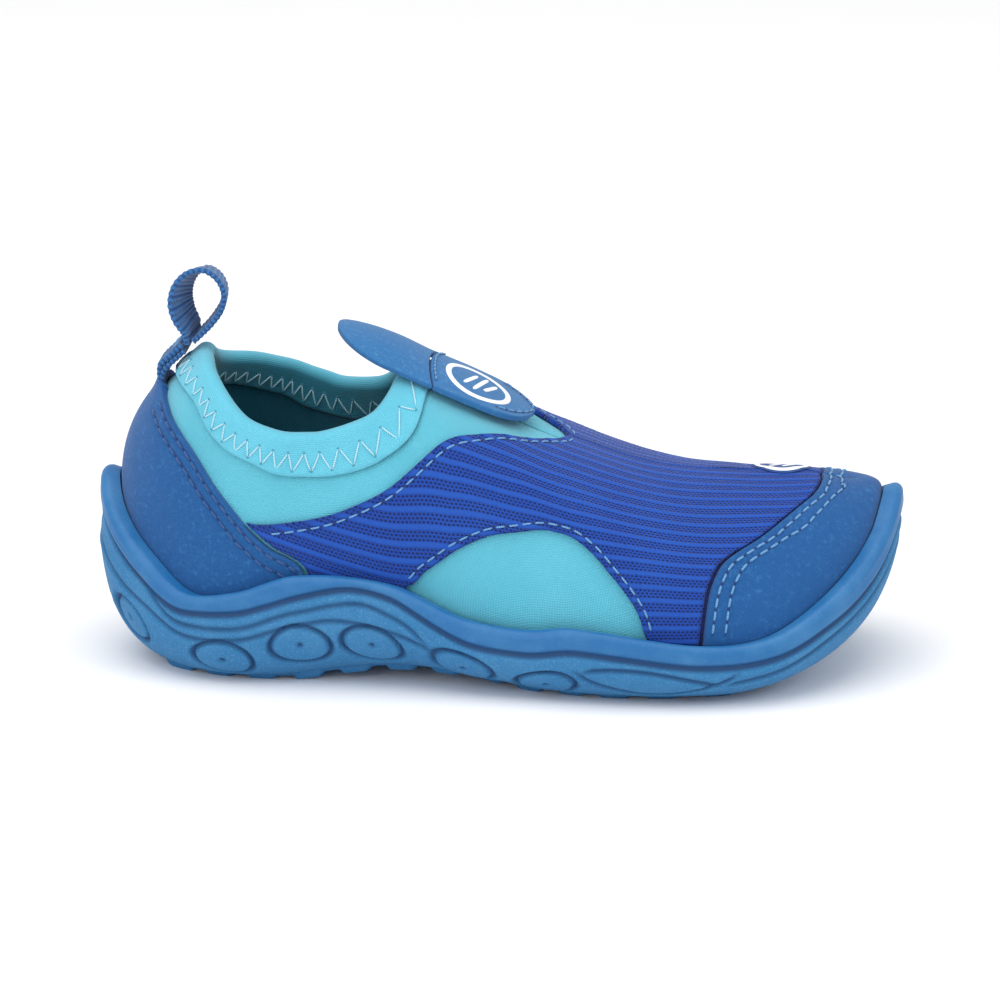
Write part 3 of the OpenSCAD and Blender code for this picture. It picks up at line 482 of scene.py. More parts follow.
# A material with a Principled shader; add() makes any other node from its type, settings and inputs.
class Finish:
    def __init__(self, name, fixed):
        self.material = bpy.data.materials.new(name)
        self.material.use_nodes = True
        self.tree = self.material.node_tree
        self.shader = self.tree.nodes["Principled BSDF"]
        self.set(fixed)

    def add(self, kind, settings=None, inputs=None, output=0):
        node = self.tree.nodes.new(kind)
        for key, value in (settings or {}).items():
            setattr(node, key, value)
        for key, value in (inputs or {}).items():
            self.feed(node.inputs[key], value)
        return Link(self, node.outputs[output])

    def feed(self, socket, value):
        if isinstance(value, Link):
            self.tree.links.new(value.socket, socket)
        else:
            socket.default_value = value

    def number(self, value):
        return self.add("ShaderNodeMath", {"operation": "ADD"}, {0: float(value), 1: 0.0})

    def set(self, inputs):
        for key, value in inputs.items():
            self.feed(self.shader.inputs[key], value)

    def blend(self, factor, a, b):
        return self.add("ShaderNodeMix", {"data_type": "RGBA", "clamp_factor": True},
                        {0: factor, 6: a, 7: b}, 2)

    def own(self, name):
        return self.add("ShaderNodeAttribute", {"attribute_name": name}, output=2)

    def ownVector(self, name):
        node = self.add("ShaderNodeAttribute", {"attribute_name": name}, output=1)
        split = self.add("ShaderNodeSeparateXYZ", None, {0: node}).socket.node
        return [Link(self, split.outputs[k]) for k in range(3)]

    def space(self):
        return self.add("ShaderNodeTexCoord", output=3)

    def noise(self, size, detail=2.0, rough=.5, distort=0.0):    # size is the grain in millimetres
        return self.add("ShaderNodeTexNoise", None, {"Vector": self.space(), "Scale": 1000 / size, "Detail": detail,
                                                    "Roughness": rough, "Distortion": distort})

    def cells(self, size):
        return self.add("ShaderNodeTexVoronoi", None, {"Vector": self.space(), "Scale": 1000 / size})

    # Height in millimetres becomes a bump.
    def bump(self, height):
        self.set({"Normal": self.add("ShaderNodeBump", None, {"Height": height, "Distance": .001, "Strength": 1.0})})
        return self.material


# Knitted jersey: loops on a slanted square lattice, the product of two sine waves along the diagonals.
def jerseyFinish(name, colour, shade, pitch=.68, slant=1.0, sheen=.35, depth=.07, insideShade=(16, 104, 126)):
    f = Finish(name, {"Specular IOR Level": .25, "Sheen Weight": sheen, "Sheen Roughness": .4})
    x, y = f.ownVector("cloth")[:2]
    loops = ((x + y * slant) * (2 * math.pi / pitch)).sin() * ((x - y * slant) * (2 * math.pi / pitch)).sin()
    fuzz = f.noise(.35, 3.0, .6)
    cloud = f.noise(14, 3.0)
    tone = (loops * .5 + .5) * .62 + fuzz * .38
    base = f.blend(cloud.step(.35, .7) * .35, f.blend(tone.step(.2, .8), paint(*shade), paint(*colour)), paint(*shade))
    # Painted shade: where the inner attribute is set, the jersey is darkened towards a deep teal to stand for the shade
    # inside the collar.
    f.set({"Base Color": f.blend(f.own("inner") * .8, base, paint(*insideShade)), "Roughness": .62 + fuzz * .25})
    return f.bump(loops * depth + fuzz * .05 + f.noise(6, 2.0) * .12)


# Ribbed mesh: each rib is a smooth strip and three staggered rows of round holes.
def meshFinish(name, body, light, dark):
    f = Finish(name, {"Specular IOR Level": .2, "Sheen Weight": .22, "Sheen Roughness": .35})
    x, y = f.ownVector("ribs")[:2]
    rib, hole = meshLook["rib"], meshLook["hole"]
    place = (y / rib).fraction() * rib                       # millimetres across one rib
    strip = place.step(meshLook["strip"] - .2, meshLook["strip"] + .05)
    rowPlace = (place - meshLook["strip"]) / ((rib - meshLook["strip"]) / 3)
    row = rowPlace.floor()
    across = rowPlace.fraction() - .5
    along = (x / hole + row * .5).fraction() - .5
    away = (along * along + across * across * 1.1).root()
    fuzz = f.noise(.3, 3.0, .6)
    opening = (1 - away.step(.16, .4)) * strip
    yarn = ((x * (2 * math.pi / .42)).sin() * .5 + .5) * (1 - strip)
    cloud = f.noise(18, 3.0)
    base = f.blend((1 - strip) * .55 + fuzz * .3, paint(*body), paint(*light))
    base = f.blend(cloud.step(.4, .75) * .25, base, paint(*light))
    # The holes are painted dark: the navy backing seen through them, deepened by painted shade.
    base = f.blend(opening * .9, base, paint(*dark))
    base = f.blend(yarn * .25, base, paint(*body))
    # Darker towards the panel's edge.
    edgeDarkening = 1 - f.own("rim").step(.2, .9)
    f.set({"Base Color": f.blend(edgeDarkening * .35, base, paint(*dark)), "Roughness": .6 + fuzz * .25})
    return f.bump(opening * -.3 + (1 - strip) * .04 + yarn * .04 + fuzz * .07)


# Suede-like coated microfibre: short nap as fine noise, light tips, a darker cut edge.
def suedeFinish(name, colour, light, dark):
    f = Finish(name, {"Specular IOR Level": .2, "Sheen Weight": .16, "Sheen Roughness": .5})
    nap = f.noise(.22, 4.0, .7)
    grain = f.noise(1.1, 4.0, .65, .4)
    cloud = f.noise(16, 3.0)
    base = f.blend(nap.step(.42, .68), paint(*dark), paint(*colour))
    base = f.blend(grain.step(.5, .78) * .5, base, paint(*light))
    base = f.blend(cloud.step(.35, .75) * .3, base, paint(*dark))
    cut = 1 - f.own("rim").step(.05, .5)
    f.set({"Base Color": f.blend(cut * .5, base, paint(*dark)), "Roughness": .7 + nap * .2})
    return f.bump(nap * .1 + grain * .08)


# Moulded rubber: smooth and slightly glossy on the bead, stippled and chalky on the lower wall.
def rubberFinish(name, bead, wall, pale, grooveShade):
    f = Finish(name, {"Specular IOR Level": .34, "Coat Roughness": .35})
    stipple = f.own("stipple")
    grooveShadeMask = f.own("grooveShadeMask")
    grain = f.noise(.42, 3.0, .7)
    speck = 1 - f.cells(.9).step(.05, .22)
    cloud = f.noise(9, 4.0, .6, .3)
    base = f.blend(stipple, paint(*bead), paint(*wall))
    base = f.blend(cloud.step(.35, .8) * .3, base, paint(*pale))
    base = f.blend(stipple * grain.step(.5, .7) * .6 + speck * .25, base, paint(*pale))
    # Painted shade: grooves, pod rings, dimples and the gaps between tread blocks are darkened towards a deep blue.
    base = f.blend(grooveShadeMask * .9, base, paint(*grooveShade))
    f.set({"Base Color": base, "Roughness": .42 + stipple * .2 + cloud * .12, "Coat Weight": (1 - stipple) * .06})
    return f.bump(grain * (.04 + stipple * .16) + cloud * .12)


# Woven tape: fine warp ribs along the tape, crossed by rounded weft ribs.
def tapeFinish(name, colour, light, dark):
    f = Finish(name, {"Specular IOR Level": .3, "Sheen Weight": .35, "Sheen Roughness": .35})
    x, y = f.ownVector("cloth")[:2]
    weft = (x * (2 * math.pi / tapeLook["rib"])).cos() * .5 + .5
    warp = ((y * (2 * math.pi / .62)).cos() * .5 + .5) * ((x * (math.pi / tapeLook["rib"])).sin() * .5 + .5)
    fuzz = f.noise(.3, 3.0, .65)
    # Painted shade: the tape darkens in the grooves between the weft ribs.
    base = f.blend(weft * .7 + fuzz * .3, paint(*dark), paint(*colour))
    base = f.blend((warp * fuzz).step(.25, .6) * .55, base, paint(*light))
    f.set({"Base Color": base, "Roughness": .62 + fuzz * .2})
    return f.bump(weft * .1 + warp * .12 + fuzz * .1)


# Sewing thread: two plies as slanted bands round it.
def threadFinish(name, colour, shade):
    f = Finish(name, {"Specular IOR Level": .5, "Sheen Weight": .2})
    x, turn = f.ownVector("cloth")[:2]
    ply = (x * (2 * math.pi / .45) + turn).sin() * .5 + .5
    f.set({"Base Color": f.blend(ply * .8 + f.noise(.2) * .2, paint(*shade), paint(*colour)),
           "Roughness": .45 + ply * .2})
    return f.bump(ply * .06)


# Printed ink: one colour with a fine grain.
def printFinish(name, colour, shade):
    f = Finish(name, {"Specular IOR Level": .4})
    grain = f.noise(.3, 3.0, .6)
    f.set({"Base Color": f.blend(grain.step(.3, .6), paint(*shade), paint(*colour)), "Roughness": .45 + grain * .2})
    return f.bump(grain * .06)


meshLook = {"rib": 3.5, "strip": 1.15, "hole": .84}
tapeLook = {"rib": 1.0, "width": 9.5, "thick": 1.2, "across": 41}
neopreneFinish = jerseyFinish("neopreneJersey", (112, 206, 226), (84, 184, 208))
# The lining is turquoise jersey; its colour here is darkened to a deep teal to paint the shade inside the shoe.
liningFinish = jerseyFinish("liningJersey", (24, 122, 144), (12, 88, 110), .6)
bindingFinish = jerseyFinish("bindingJersey", (118, 206, 228), (88, 184, 209), .5, .6, .3, .05)
backingFinish = jerseyFinish("backingJersey", (50, 70, 140), (32, 48, 105))
footbedFinish = jerseyFinish("footbedJersey", (30, 120, 145), (18, 86, 108), .7)
meshCloth = meshFinish("ribbedMesh", (22, 62, 152), (38, 90, 184), (8, 28, 92))
suede = suedeFinish("coatedMicrofibre", (34, 98, 158), (64, 130, 190), (24, 80, 140))
tabSuede = suedeFinish("tabMicrofibre", (60, 128, 182), (98, 162, 206), (44, 104, 160))
rubber = rubberFinish("mouldedRubber", (30, 102, 160), (44, 116, 168), (88, 150, 192), (14, 56, 102))
tape = tapeFinish("ribbedTape", (56, 116, 176), (104, 162, 212), (26, 62, 116))
paleThread = threadFinish("clearThread", (196, 230, 240), (140, 196, 212))
blueThread = threadFinish("blueThread", (118, 172, 212), (66, 122, 180))
navyThread = threadFinish("navyThread", (52, 98, 160), (20, 48, 104))
whitePrint = printFinish("whitePrint", (245, 248, 252), (222, 230, 240))
deepPrint = printFinish("deepBluePrint", (34, 74, 140), (26, 58, 116))
holeFinish = printFinish("needleHole", (22, 48, 104), (14, 32, 78))
boardFinish = jerseyFinish("lastingBoard", (205, 205, 198), (176, 176, 170), 1.2)
foamFinish = rubberFinish("footbedFoam", (40, 110, 140), (48, 120, 150), (70, 150, 176), (20, 70, 96))
tealHole = printFinish("tealNeedleHole", (70, 150, 175), (52, 128, 152))
print("finishes ready")


# Sole: wall, bead, cup and tread.
sole = {
    "stations": 860, "grooveWidth": .75, "grooveDepth": .62, "bodyLift": .8,
    "beadGroove": [(0, -.7), (.1, -.7), (.18, -.8), (.237, -1.6), (.269, -1.1), (.298, -.5), (.325, -.2), (.35, -1.1),
                   (.375, -2.5), (.39, -3.1), (.408, -3.1), (.426, -2.6), (.444, -1.7), (.467, -1), (.489, -.5),
                   (.567, -.5), (.66, -.8), (.73, -1.1), (.8, -.6), (.847, 0), (.9, 0), (.935, -.7), (1, -.7)],
    "midGroove": [(.165, -.6), (.199, 1), (.236, 1.1), (.268, 2), (.297, 2.7), (.324, 2.7), (.35, 2), (.374, .6),
                  (.399, -.4), (.421, .7), (.439, 1.9), (.456, 4.2)],
    "lowGroove": [(0, 5.6), (.06, 5.8), (.117, 5.4), (.165, 4.3), (.197, 3.7), (.234, 3.7), (.265, 4.4), (.295, 5.2),
                  (.323, 5.4), (.349, 4.8), (.373, 3.9), (.398, 3.9), (.421, 4.4), (.443, 4.6), (.46, 4.8)],
    "lensUpper": [(.572, 3.7), (.585, 2.8), (.601, 2), (.627, 1.4), (.653, 1.6), (.681, 2.5), (.7, 3.4)],
    "lensLower": [(.565, 3.5), (.586, 6), (.608, 7.4), (.635, 8.1), (.658, 6.8), (.682, 4.2), (.7, 2), (.715, .2)],
    "toeGroove": [(.7, 3), (.73, 2.3), (.78, 2.2), (.83, 2.6), (.88, 3.2), (.94, 3.2), (1, 3)],
    # Pods: u, share of the wall below the bead, half length, half height, turn in degrees
    "pods": [(.118, .5, 6.4, 4.4, -32), (.258, .48, 6.5, 4.9, 0), (.341, .44, 6.3, 4.7, 4), (.404, .43, 6.1, 4.6, 10),
             (.479, .4, 6.2, 4.4, 6), (.547, .5, 6.2, 4.2, 2)],
    "podRing": .55, "podDepth": .85, "dimple": .75,
}


# One smooth groove across q millimetres; negative inside, with a slight lip on both sides.
def grooveDepth(q, width, depth):
    return -depth * np.exp(-(q / width)**2) + .16 * depth * np.exp(-((np.abs(q) - 2.1 * width) / width)**2)


# A groove along a table of [u, q], fading out at the table's ends.
def grooveAlong(table, u, q, width, depth, fade=.012):
    first, end = table[0][0], table[-1][0]
    inside = np.clip((u - first) / fade + (first <= 0) * 9, 0, 1) * np.clip((end - u) / fade + (end >= 1) * 9, 0, 1)
    return inside * grooveDepth(q - curveThrough(table, u), width, depth)


def makeSole():
    count = sole["stations"]
    # Stations are closer together at heel and toe, where the outline turns.
    half = np.linspace(0, 1, count // 2 + 1)
    spread = np.concatenate([half, half[-2:0:-1]])
    side = np.where(np.arange(count) <= count // 2, -1.0, 1.0)
    u = spread[:, None] + 0 * side[:, None]
    s = side[:, None]
    rimTop, roundness = curveThrough(last["rimTop"], u), curveThrough(last["sideRound"], u)
    tip = np.exp(-((1 - u) / .055)**4) * 1.1 + np.exp(-(u / .05)**4) * .9      # raised tabs at toe and heel
    rimTop = rimTop + tip
    under = np.maximum(curveThrough(last["treadLine"], planX(u, roundness)), 0) + sole["bodyLift"]
    beadLow = curveThrough(last["rimTop"], u) - last["bead"]

    # Lower wall: quarter ellipse; k runs from 0 at the bead to 1 under the foot.
    k = np.linspace(1, 0, 58)[None, :-1]
    wallInset = roundness * (1 - np.cos(np.pi / 2 * k))
    wallZ = mix(beadLow, under, np.sin(np.pi / 2 * k))
    drop = (beadLow - under) * np.pi / 2
    speed = np.sqrt((roundness * np.pi / 2 * np.sin(np.pi / 2 * k))**2 + (drop * np.cos(np.pi / 2 * k))**2)
    q = np.cumsum((speed * (k[0, 0] - k[0, 1]))[:, ::-1], axis=1)[:, ::-1]
    # Bead: straight wall, then a rolled top.
    b = np.linspace(0, 1, 15)[None]
    beadZ = mix(beadLow, rimTop - 1.4, b) + 0 * u
    beadInset = 0 * beadZ
    r = np.radians(np.linspace(8, 90, 8))[None]
    rollZ = rimTop - 1.4 + 1.4 * np.sin(r)
    rollInset = 1.6 * (1 - np.cos(r)) + 0 * u
    top = np.array([[.5, .8, 1]])
    topZ = rimTop - .35 * top**2
    topInset = mix(1.6, last["rim"], top) + 0 * u
    innerK = np.array([[.06, .15, .3, .5, .75, 1]])
    innerInset = cupInset(u, innerK) - last["cupGap"]
    low = floorZ(planX(u, cupInset(u, 1)))
    innerZ = mix(curveThrough(last["rimTop"], u), low, np.sin(np.pi / 2 * innerK))

    inset = np.concatenate([wallInset, beadInset, rollInset, topInset, innerInset], 1)
    z = np.concatenate([wallZ, beadZ, rollZ, topZ, innerZ], 1)
    wallRows = wallZ.shape[1]
    x, y = plan(u + 0 * inset, s, inset)
    points = np.stack([x, y, z], -1)
    qAll = np.concatenate([q, -b * (last["bead"] - 1.4) + 0 * u, -(3.6 + 1.4 * np.sin(r)) + 0 * u,
                           -5.4 + 0 * topZ, -6 + 0 * innerZ], 1)

    normal = np.cross(np.roll(points, -1, 0) - np.roll(points, 1, 0), np.gradient(points, axis=1))
    normal = unitRows(normal)
    outwards = np.stack([x, y - centreY(x), 0 * x], -1)
    flip = np.sign((normal[:, wallRows + 4] * outwards[:, wallRows + 4]).sum(-1))
    normal = normal * flip[:, None, None]

    lift, grooveShade = np.zeros_like(z), np.zeros_like(z)
    width, depth = sole["grooveWidth"], sole["grooveDepth"]
    grooves = [("beadGroove", 1.0, 1.25), ("midGroove", .8, .8), ("lowGroove", .8, .8), ("lensUpper", .8, .9),
               ("lensLower", .8, .9), ("toeGroove", .9, .8)]
    for name, wide, hard in grooves:
        cut = grooveAlong(sole[name], u, qAll, width * wide, depth * hard)
        lift += cut
        grooveShade = np.maximum(grooveShade, np.clip(-cut / depth, 0, 1))
    below = np.clip((qAll - curveThrough(sole["beadGroove"], u)) / .8, 0, 1)
    lift += .3 * (1 - below) * (qAll > -6)                     # the bead stands proud of the wall
    heelSwell = np.exp(-(u / .16)**2)
    lift += heelSwell * 1.0 * np.clip((qAll - 2) / 5, 0, 1) * np.clip((24 - qAll) / 8, 0, 1)
    rate = np.pi * np.sqrt((last["halfLength"] * np.sin(np.pi * u))**2
                           + (curveThrough(last["halfWidth"], u) * np.cos(np.pi * u))**2)
    wallLength = q[:, :1]
    for at, share, halfLong, halfHigh, turn in sole["pods"]:
        dx = (u - at) * rate
        dq = qAll - share * wallLength
        c, d = math.cos(math.radians(turn)), math.sin(math.radians(turn))
        px, py = dx * c + dq * d, -dx * d + dq * c
        away = np.sqrt((px / halfLong)**2 + (py / halfHigh)**2)
        size = .5 * (halfLong + halfHigh)
        ring = (away - 1) * size
        clear = np.exp(-np.maximum(1.12 - away, 0)**2 * 80)
        lift = np.where(away < 1.12, lift * clear, lift)
        cut = grooveDepth(ring, sole["podRing"], sole["podDepth"])
        lift += np.where(np.abs(ring) < 2.5, cut, 0)
        lift += np.where(away < 1, .22 * (1 - away**2), 0)
        spot = np.sqrt(px**2 + (py + .3)**2)
        lift -= .55 * np.exp(-(spot / sole["dimple"])**4)
        grooveShade = np.maximum(grooveShade, np.clip(-cut / sole["podDepth"] * 1.1, 0, 1) * (np.abs(ring) < 1.4))
        grooveShade = np.maximum(grooveShade, np.exp(-(spot / (sole["dimple"] * .8))**4))
    visible = np.clip((qAll + 5.2) / .3, 0, 1)
    lift = lift * visible
    tread = np.clip((k[0] - .97) / .03, 0, 1)
    lift[:, :wallRows] *= 1 - tread[None]
    points = points + lift[..., None] * normal
    points[..., 2] = np.maximum(points[..., 2], .25)

    # Close the underside and the cup's floor on the centre line.
    def closing(insetAt, heightAt, share):
        ins = insetAt * np.ones_like(u)
        cx, cy = plan(u, s, ins)
        return np.stack([cx, mix(cy, centreY(cx), share), heightAt(cx)], -1)
    underside = [closing(roundness + last["landing"] * g, lambda cx: np.maximum(curveThrough(last["treadLine"], cx), 0)
                      + sole["bodyLift"], h) for g, h in ((1, 1), (1, .5), (.4, 0))]
    above = [closing(cupInset(u, 1) - last["cupGap"] + last["landing"], floorZ, 1)]
    grid = np.concatenate([np.concatenate(underside, 1), points, np.concatenate(above, 1)], 1)
    stipple = np.concatenate([np.ones((count, 3)), below * np.clip((qAll + 3.4) / .4, 0, 1), np.zeros((count, 1))], 1)
    # Painted groove shade: how far each point is darkened in grooves, pod rings and dimples.
    grooveShadeMask = np.concatenate([np.zeros((count, 3)), grooveShade * visible, np.zeros((count, 1))], 1)
    makePiece("soleBody", grid, gridFaces(count, grid.shape[1], wrapI=True), rubber, ("outsole",),
              values={"stipple": stipple.ravel(), "grooveShadeMask": grooveShadeMask.ravel()}, sharp=70)


# Tread: rows of wavy blocks; a block stands where a slanted wave is high, and drops to the ground.
def makeTread():
    rows, columns = 300, 120
    u = np.linspace(.02, .98, rows)[:, None]
    w = np.linspace(-1, 1, columns)[None]
    roundness = curveThrough(last["sideRound"], u) * .82
    x, high = plan(u, 1.0, roundness)
    lowY = plan(u, -1.0, roundness)[1]
    y = mix(lowY, high, (w + 1) / 2)
    x = x + 0 * w
    ground = np.maximum(curveThrough(last["treadLine"], x), 0)
    wave = np.cos(2 * np.pi * (x + 2.4 * np.cos(2 * np.pi * y / 26) + 1) / 9.2)
    block = 1 / (1 + np.exp(-(wave + .35) * 9))
    sipe = np.exp(-((np.abs(np.mod(y + 3 * np.sin(x / 6), 13) - 6.5)) / .7)**4)
    block = block * (1 - .8 * sipe)
    rim = np.clip((1 - np.abs(w)) / .03, 0, 1) * np.clip((u - .02) / .01, 0, 1) * np.clip((.98 - u) / .01, 0, 1)
    z = ground + sole["bodyLift"] - .05 - (sole["bodyLift"] + .35) * block * rim
    z = np.maximum(z, .02)
    topZ = ground + sole["bodyLift"] + .8 + 0 * z
    n, m = z.shape
    under = np.stack([x, y + 0 * z, z], -1).reshape(-1, 3)
    over = np.stack([x, y + 0 * z, topZ], -1).reshape(-1, 3)
    rims = [("rear", 0, m), ("front", 0, m), ("low", 0, n), ("high", 0, n)]
    # The gaps between the blocks take some painted groove shade.
    makePiece("treadBlocks", np.concatenate([over, under]), shellFaces(n, m, rims), rubber,
              values={"stipple": np.full(2 * n * m, .7),
                      "grooveShadeMask": np.concatenate([0 * z.ravel(), (1 - block.ravel()) * .35])})


makeSole()
makeTread()
print("sole made")


# Upper: quarters, backing, mesh, overlays and their seams.
# On the last: half the butt seam, the front lap, the gap beside a panel, the wing's two ends, the mesh's lower edge.
seamThrough = {"halfSeam": .006, "frontLap": .66, "cut": .004, "wingFront": .64, "wingTail": .272,
               "meshLasting": -.06}


# Coons patch: two ruled surfaces between opposite edges, less the ruled surface of the corners.
def coons(low, high, rear, front, a, b):
    a, b = a[:, None], b[None, :]
    lowAt, highAt = np.stack(low(a), -1), np.stack(high(a), -1)
    rearAt, frontAt = np.stack(rear(b), -1), np.stack(front(b), -1)
    corner = lambda f, k: np.stack(f(np.array([[float(k)]])), -1)
    a, b = a[..., None], b[..., None]
    return (mix(lowAt, highAt, b) + mix(rearAt, frontAt, a)
            - mix(mix(corner(low, 0), corner(low, 1), a), mix(corner(high, 0), corner(high, 1), a), b))


# Place on the collar: k from heel to tongue, share from the binding's edge to the top.
# The inner side bows up, and dips near the heel.
def collarPlace(k, side, share=1.0):
    p = mix(splineThrough(edges["binding"], k), splineThrough(edges["collar"], k), np.asarray(share)[..., None])
    rise = last["medialRise"] / 50 * np.sin(np.pi * np.clip(k, 0, 1))**2 - .085 * np.exp(-((k - .2) / .12)**2)
    up = np.where(side > 0, rise, 0)
    return p[..., 0], np.minimum(p[..., 1] + up, 1)


# Soft creases: products of sine waves over millimetres on the cloth.
wrinkles = lambda x, y, size, seed: (np.sin(x / size + seed) * np.sin(y / size * 1.3 + 2 * seed) * .6
                                     + np.sin(x / size * 2.1 - y / size + seed * 3) * .4)


# Each half fills its four edges: lasting edge, collar with butt seam, heel seam and front lap.
def makeNeoprene():
    for side, name, node in ((-1, "neopreneOuterHalf", "neoprene_lateral"),
                             (1, "neopreneInnerHalf", "neoprene_medial")):
        share, tuck, seam = .75, .012, seamThrough["halfSeam"]

        def high(a):
            k = np.minimum(a / share, 1)
            cu, ct = collarPlace(k, side)
            fore = np.clip((a - share) / (1 - share), 0, 1)
            u = np.where(a < share, np.maximum(cu, seam), mix(edges["collar"][10][1], seamThrough["frontLap"], fore))
            return u, np.where(a < share, np.minimum(ct, 1 - seam) - tuck, 1 - seam + 0 * a)
        low = lambda a: (mix(seam, seamThrough["frontLap"], a), 0 * a - .9)
        rear = lambda b: (seam + 0 * b, mix(-.9, float(high(np.array([0.0]))[1][0]), b))
        front = lambda b: (seamThrough["frontLap"] + 0 * b, mix(-.9, 1 - seam, b))
        a, b = np.linspace(0, 1, 220), np.linspace(0, 1, 96)
        grid = coons(low, high, rear, front, a, b)
        u, t = grid[..., 0], np.clip(grid[..., 1], -1, 1)
        n, m = u.shape
        cloth = clothPlace(u, t, side + 0 * u)
        relief = .12 * wrinkles(cloth[..., 0], cloth[..., 1], 5.5, side)
        relief = relief - .35 * np.exp(-((u - .46) / .03)**2) * np.exp(-((t - .45) / .12)**2)
        cu, ct = collarPlace(np.linspace(0, 1, 260), side, .0)
        bindLine = lastPoint(cu, ct, side)
        rims = [("rear", 0, m), ("front", 0, m), ("low", 0, n), ("high", 0, n)]
        panelPiece(name, u, t, side, levels["neopreneOut"], levels["jerseyIn"], rims, neopreneFinish,
                   (node,), seams=[(bindLine, .9, .22, 3.7)], relief=relief)
        panelPiece(name.replace("neoprene", "lining"), u, t, side, levels["liningOut"], levels["neopreneIn"], rims,
                   liningFinish)


# The backing wraps right over the ridge from the front lap to the toe.
def makeBacking():
    count, half = 30, 44
    a = np.linspace(0, 1, count)[:, None]
    v = np.linspace(-1.9, 1.9, 2 * half + 1)[None]
    u, t, side = overRidge(mix(seamThrough["frontLap"] + .006, 1.0, a) + 0 * v, v + 0 * a)
    n, m = u.shape
    rims = [("rear", 0, m), ("low", 0, n), ("high", 0, n)]
    panelPiece("vampLining", u, t, side, levels["neopreneOut"], levels["neopreneIn"], rims, backingFinish,
               ("vamp_backing",))


# Place on the ribbed mesh: x forwards, y across the ribs, which draw together towards the toe.
ribSpread = [(-60, 1.24), (-42, 1.17), (-17, 1.04), (0, 1), (20, 1.08), (36, 1.22), (58, 1.44), (75, 1.55)]


def ribPlace(u, t, side):
    base = lastPoint(u, t, side)
    fromRidge = clothRun(2, u, t, side)
    tilt = .16 * np.maximum(-8 - base[..., 0], 0)
    return np.stack([base[..., 0], fromRidge * curveThrough(ribSpread, base[..., 0]) + tilt + 60.3, side + 0 * u], -1)


# Two Coons patches to a side: the wing back to the counter, and the front up to the cap; the window is left out.
def makeVampMesh():
    wing, fore = seamThrough["wingFront"], seamThrough["wingTail"]
    cut, lasting = seamThrough["cut"], seamThrough["meshLasting"]
    for side in (-1, 1):
        def bottom(u):
            return np.where((u < edges["window"][0][0]) | (u > edges["window"][-1][0]), lasting,
                            curveThrough(edges["window"], u))
        start = float(curveThrough(edges["counter"], lasting)) + cut
        capLow = float(curveThrough(edges["cap"], lasting)) - cut
        capHigh = float(curveThrough(edges["cap"], 1.0)) - cut

        def low(a):
            u = mix(start, wing, a)
            return u, bottom(u)

        def high(a):
            u = mix(fore, wing, a)
            return u, curveThrough(edges["mesh"], u)

        def rear(b):
            t = mix(lasting, float(curveThrough(edges["mesh"], fore)), b)
            return curveThrough(edges["counter"], t) + cut, t
        throat = lambda b: (wing + 0 * b, mix(lasting, 1.0, b))
        frontLow = lambda a: (mix(wing, capLow, a), lasting + 0 * a)
        frontHigh = lambda a: (mix(wing, capHigh, a), 1.0 + 0 * a)

        def frontEdge(b):
            t = mix(lasting, 1.0, b)
            return curveThrough(edges["cap"], t) - cut, t
        b = stations(48, .62, (0, .06, .16, .3, .5, .8))
        a1, a2 = stations(95, .62, (0, .1, .3, .8)), np.linspace(0, 1, 96)[1:]
        grid = np.concatenate([coons(low, high, rear, throat, a1, b),
                               coons(frontLow, frontHigh, throat, frontEdge, a2, b)])
        u, t = grid[..., 0], np.clip(grid[..., 1], -1, 1)
        n, m = u.shape
        wingRows = len(a1)
        topLine = np.linspace(fore, .632, 320)
        seams = [(edgeSeam("mesh", topLine, side, 0)[0],) + sewing["thinDent"]]
        win = np.linspace(edges["window"][0][0], edges["window"][-1][0], 260)
        seams.append((edgeSeam("window", win, side, 0)[0],) + sewing["thinDent"])
        ribs = ribPlace(u, t, side)
        place = np.mod(ribs[..., 1], meshLook["rib"])
        middle = meshLook["strip"] / 2
        raised = np.exp(-((place - middle) / .5)**2) + np.exp(-((place - meshLook["rib"] - middle) / .5)**2)
        cloth = clothPlace(u, t, side + 0 * u)
        relief = .1 * raised + .1 * wrinkles(cloth[..., 0], cloth[..., 1], 6.5, 1.7 * side)
        rims = [("rear", 0, m), ("front", 0, m), ("low", 0, n), ("high", 0, wingRows)]
        name, stands = ("ribbedMeshOuter", ("vamp_mesh",)) if side < 0 else ("ribbedMeshInner", ())
        panelPiece(name, u, t, side, levels["overlayOut"], levels["overlayIn"], rims, meshCloth, stands,
                   roll=.55, seams=seams, relief=relief, values={"ribs": ribs})


# Seam rows, as millimetres inside the panel's edge, and the height of the counter.
toeCap = {"rows": (1.6, 4.2)}
heelCounter = {"rows": (1.2, 3.5), "top": .66}


# From the cap edge to the toe, right over the ridge.
def makeToeCap():
    half = 96
    v = np.linspace(-1.12, 1.12, 2 * half + 1)
    a = np.concatenate([[0, .004, .012, .025, .045, .07], np.linspace(.1, 1, 60)])
    vv = np.broadcast_to(v[None], (len(a), len(v)))
    t = 1 - np.abs(vv)
    u = mix(curveThrough(edges["cap"], t), 1.0, a[:, None])
    side = np.where(vv < 0, -1.0, 1.0)
    n, m = u.shape
    line = np.linspace(-1.03, 1.03, 400)
    seams = []
    for inside in toeCap["rows"]:
        seams.append((capLine(line, inside, 0)[0],) + sewing["dent"])
    cloth = clothPlace(u, t, side)
    relief = .09 * wrinkles(cloth[..., 0], cloth[..., 1], 6, 4.0)
    rims = [("rear", 0, m), ("low", 0, n), ("high", 0, n)]
    panelPiece("toeCapPanel", u, t, side, levels["panelOut"], levels["overlayIn"], rims, suede,
               ("toe_cap",), seams=seams, relief=relief)


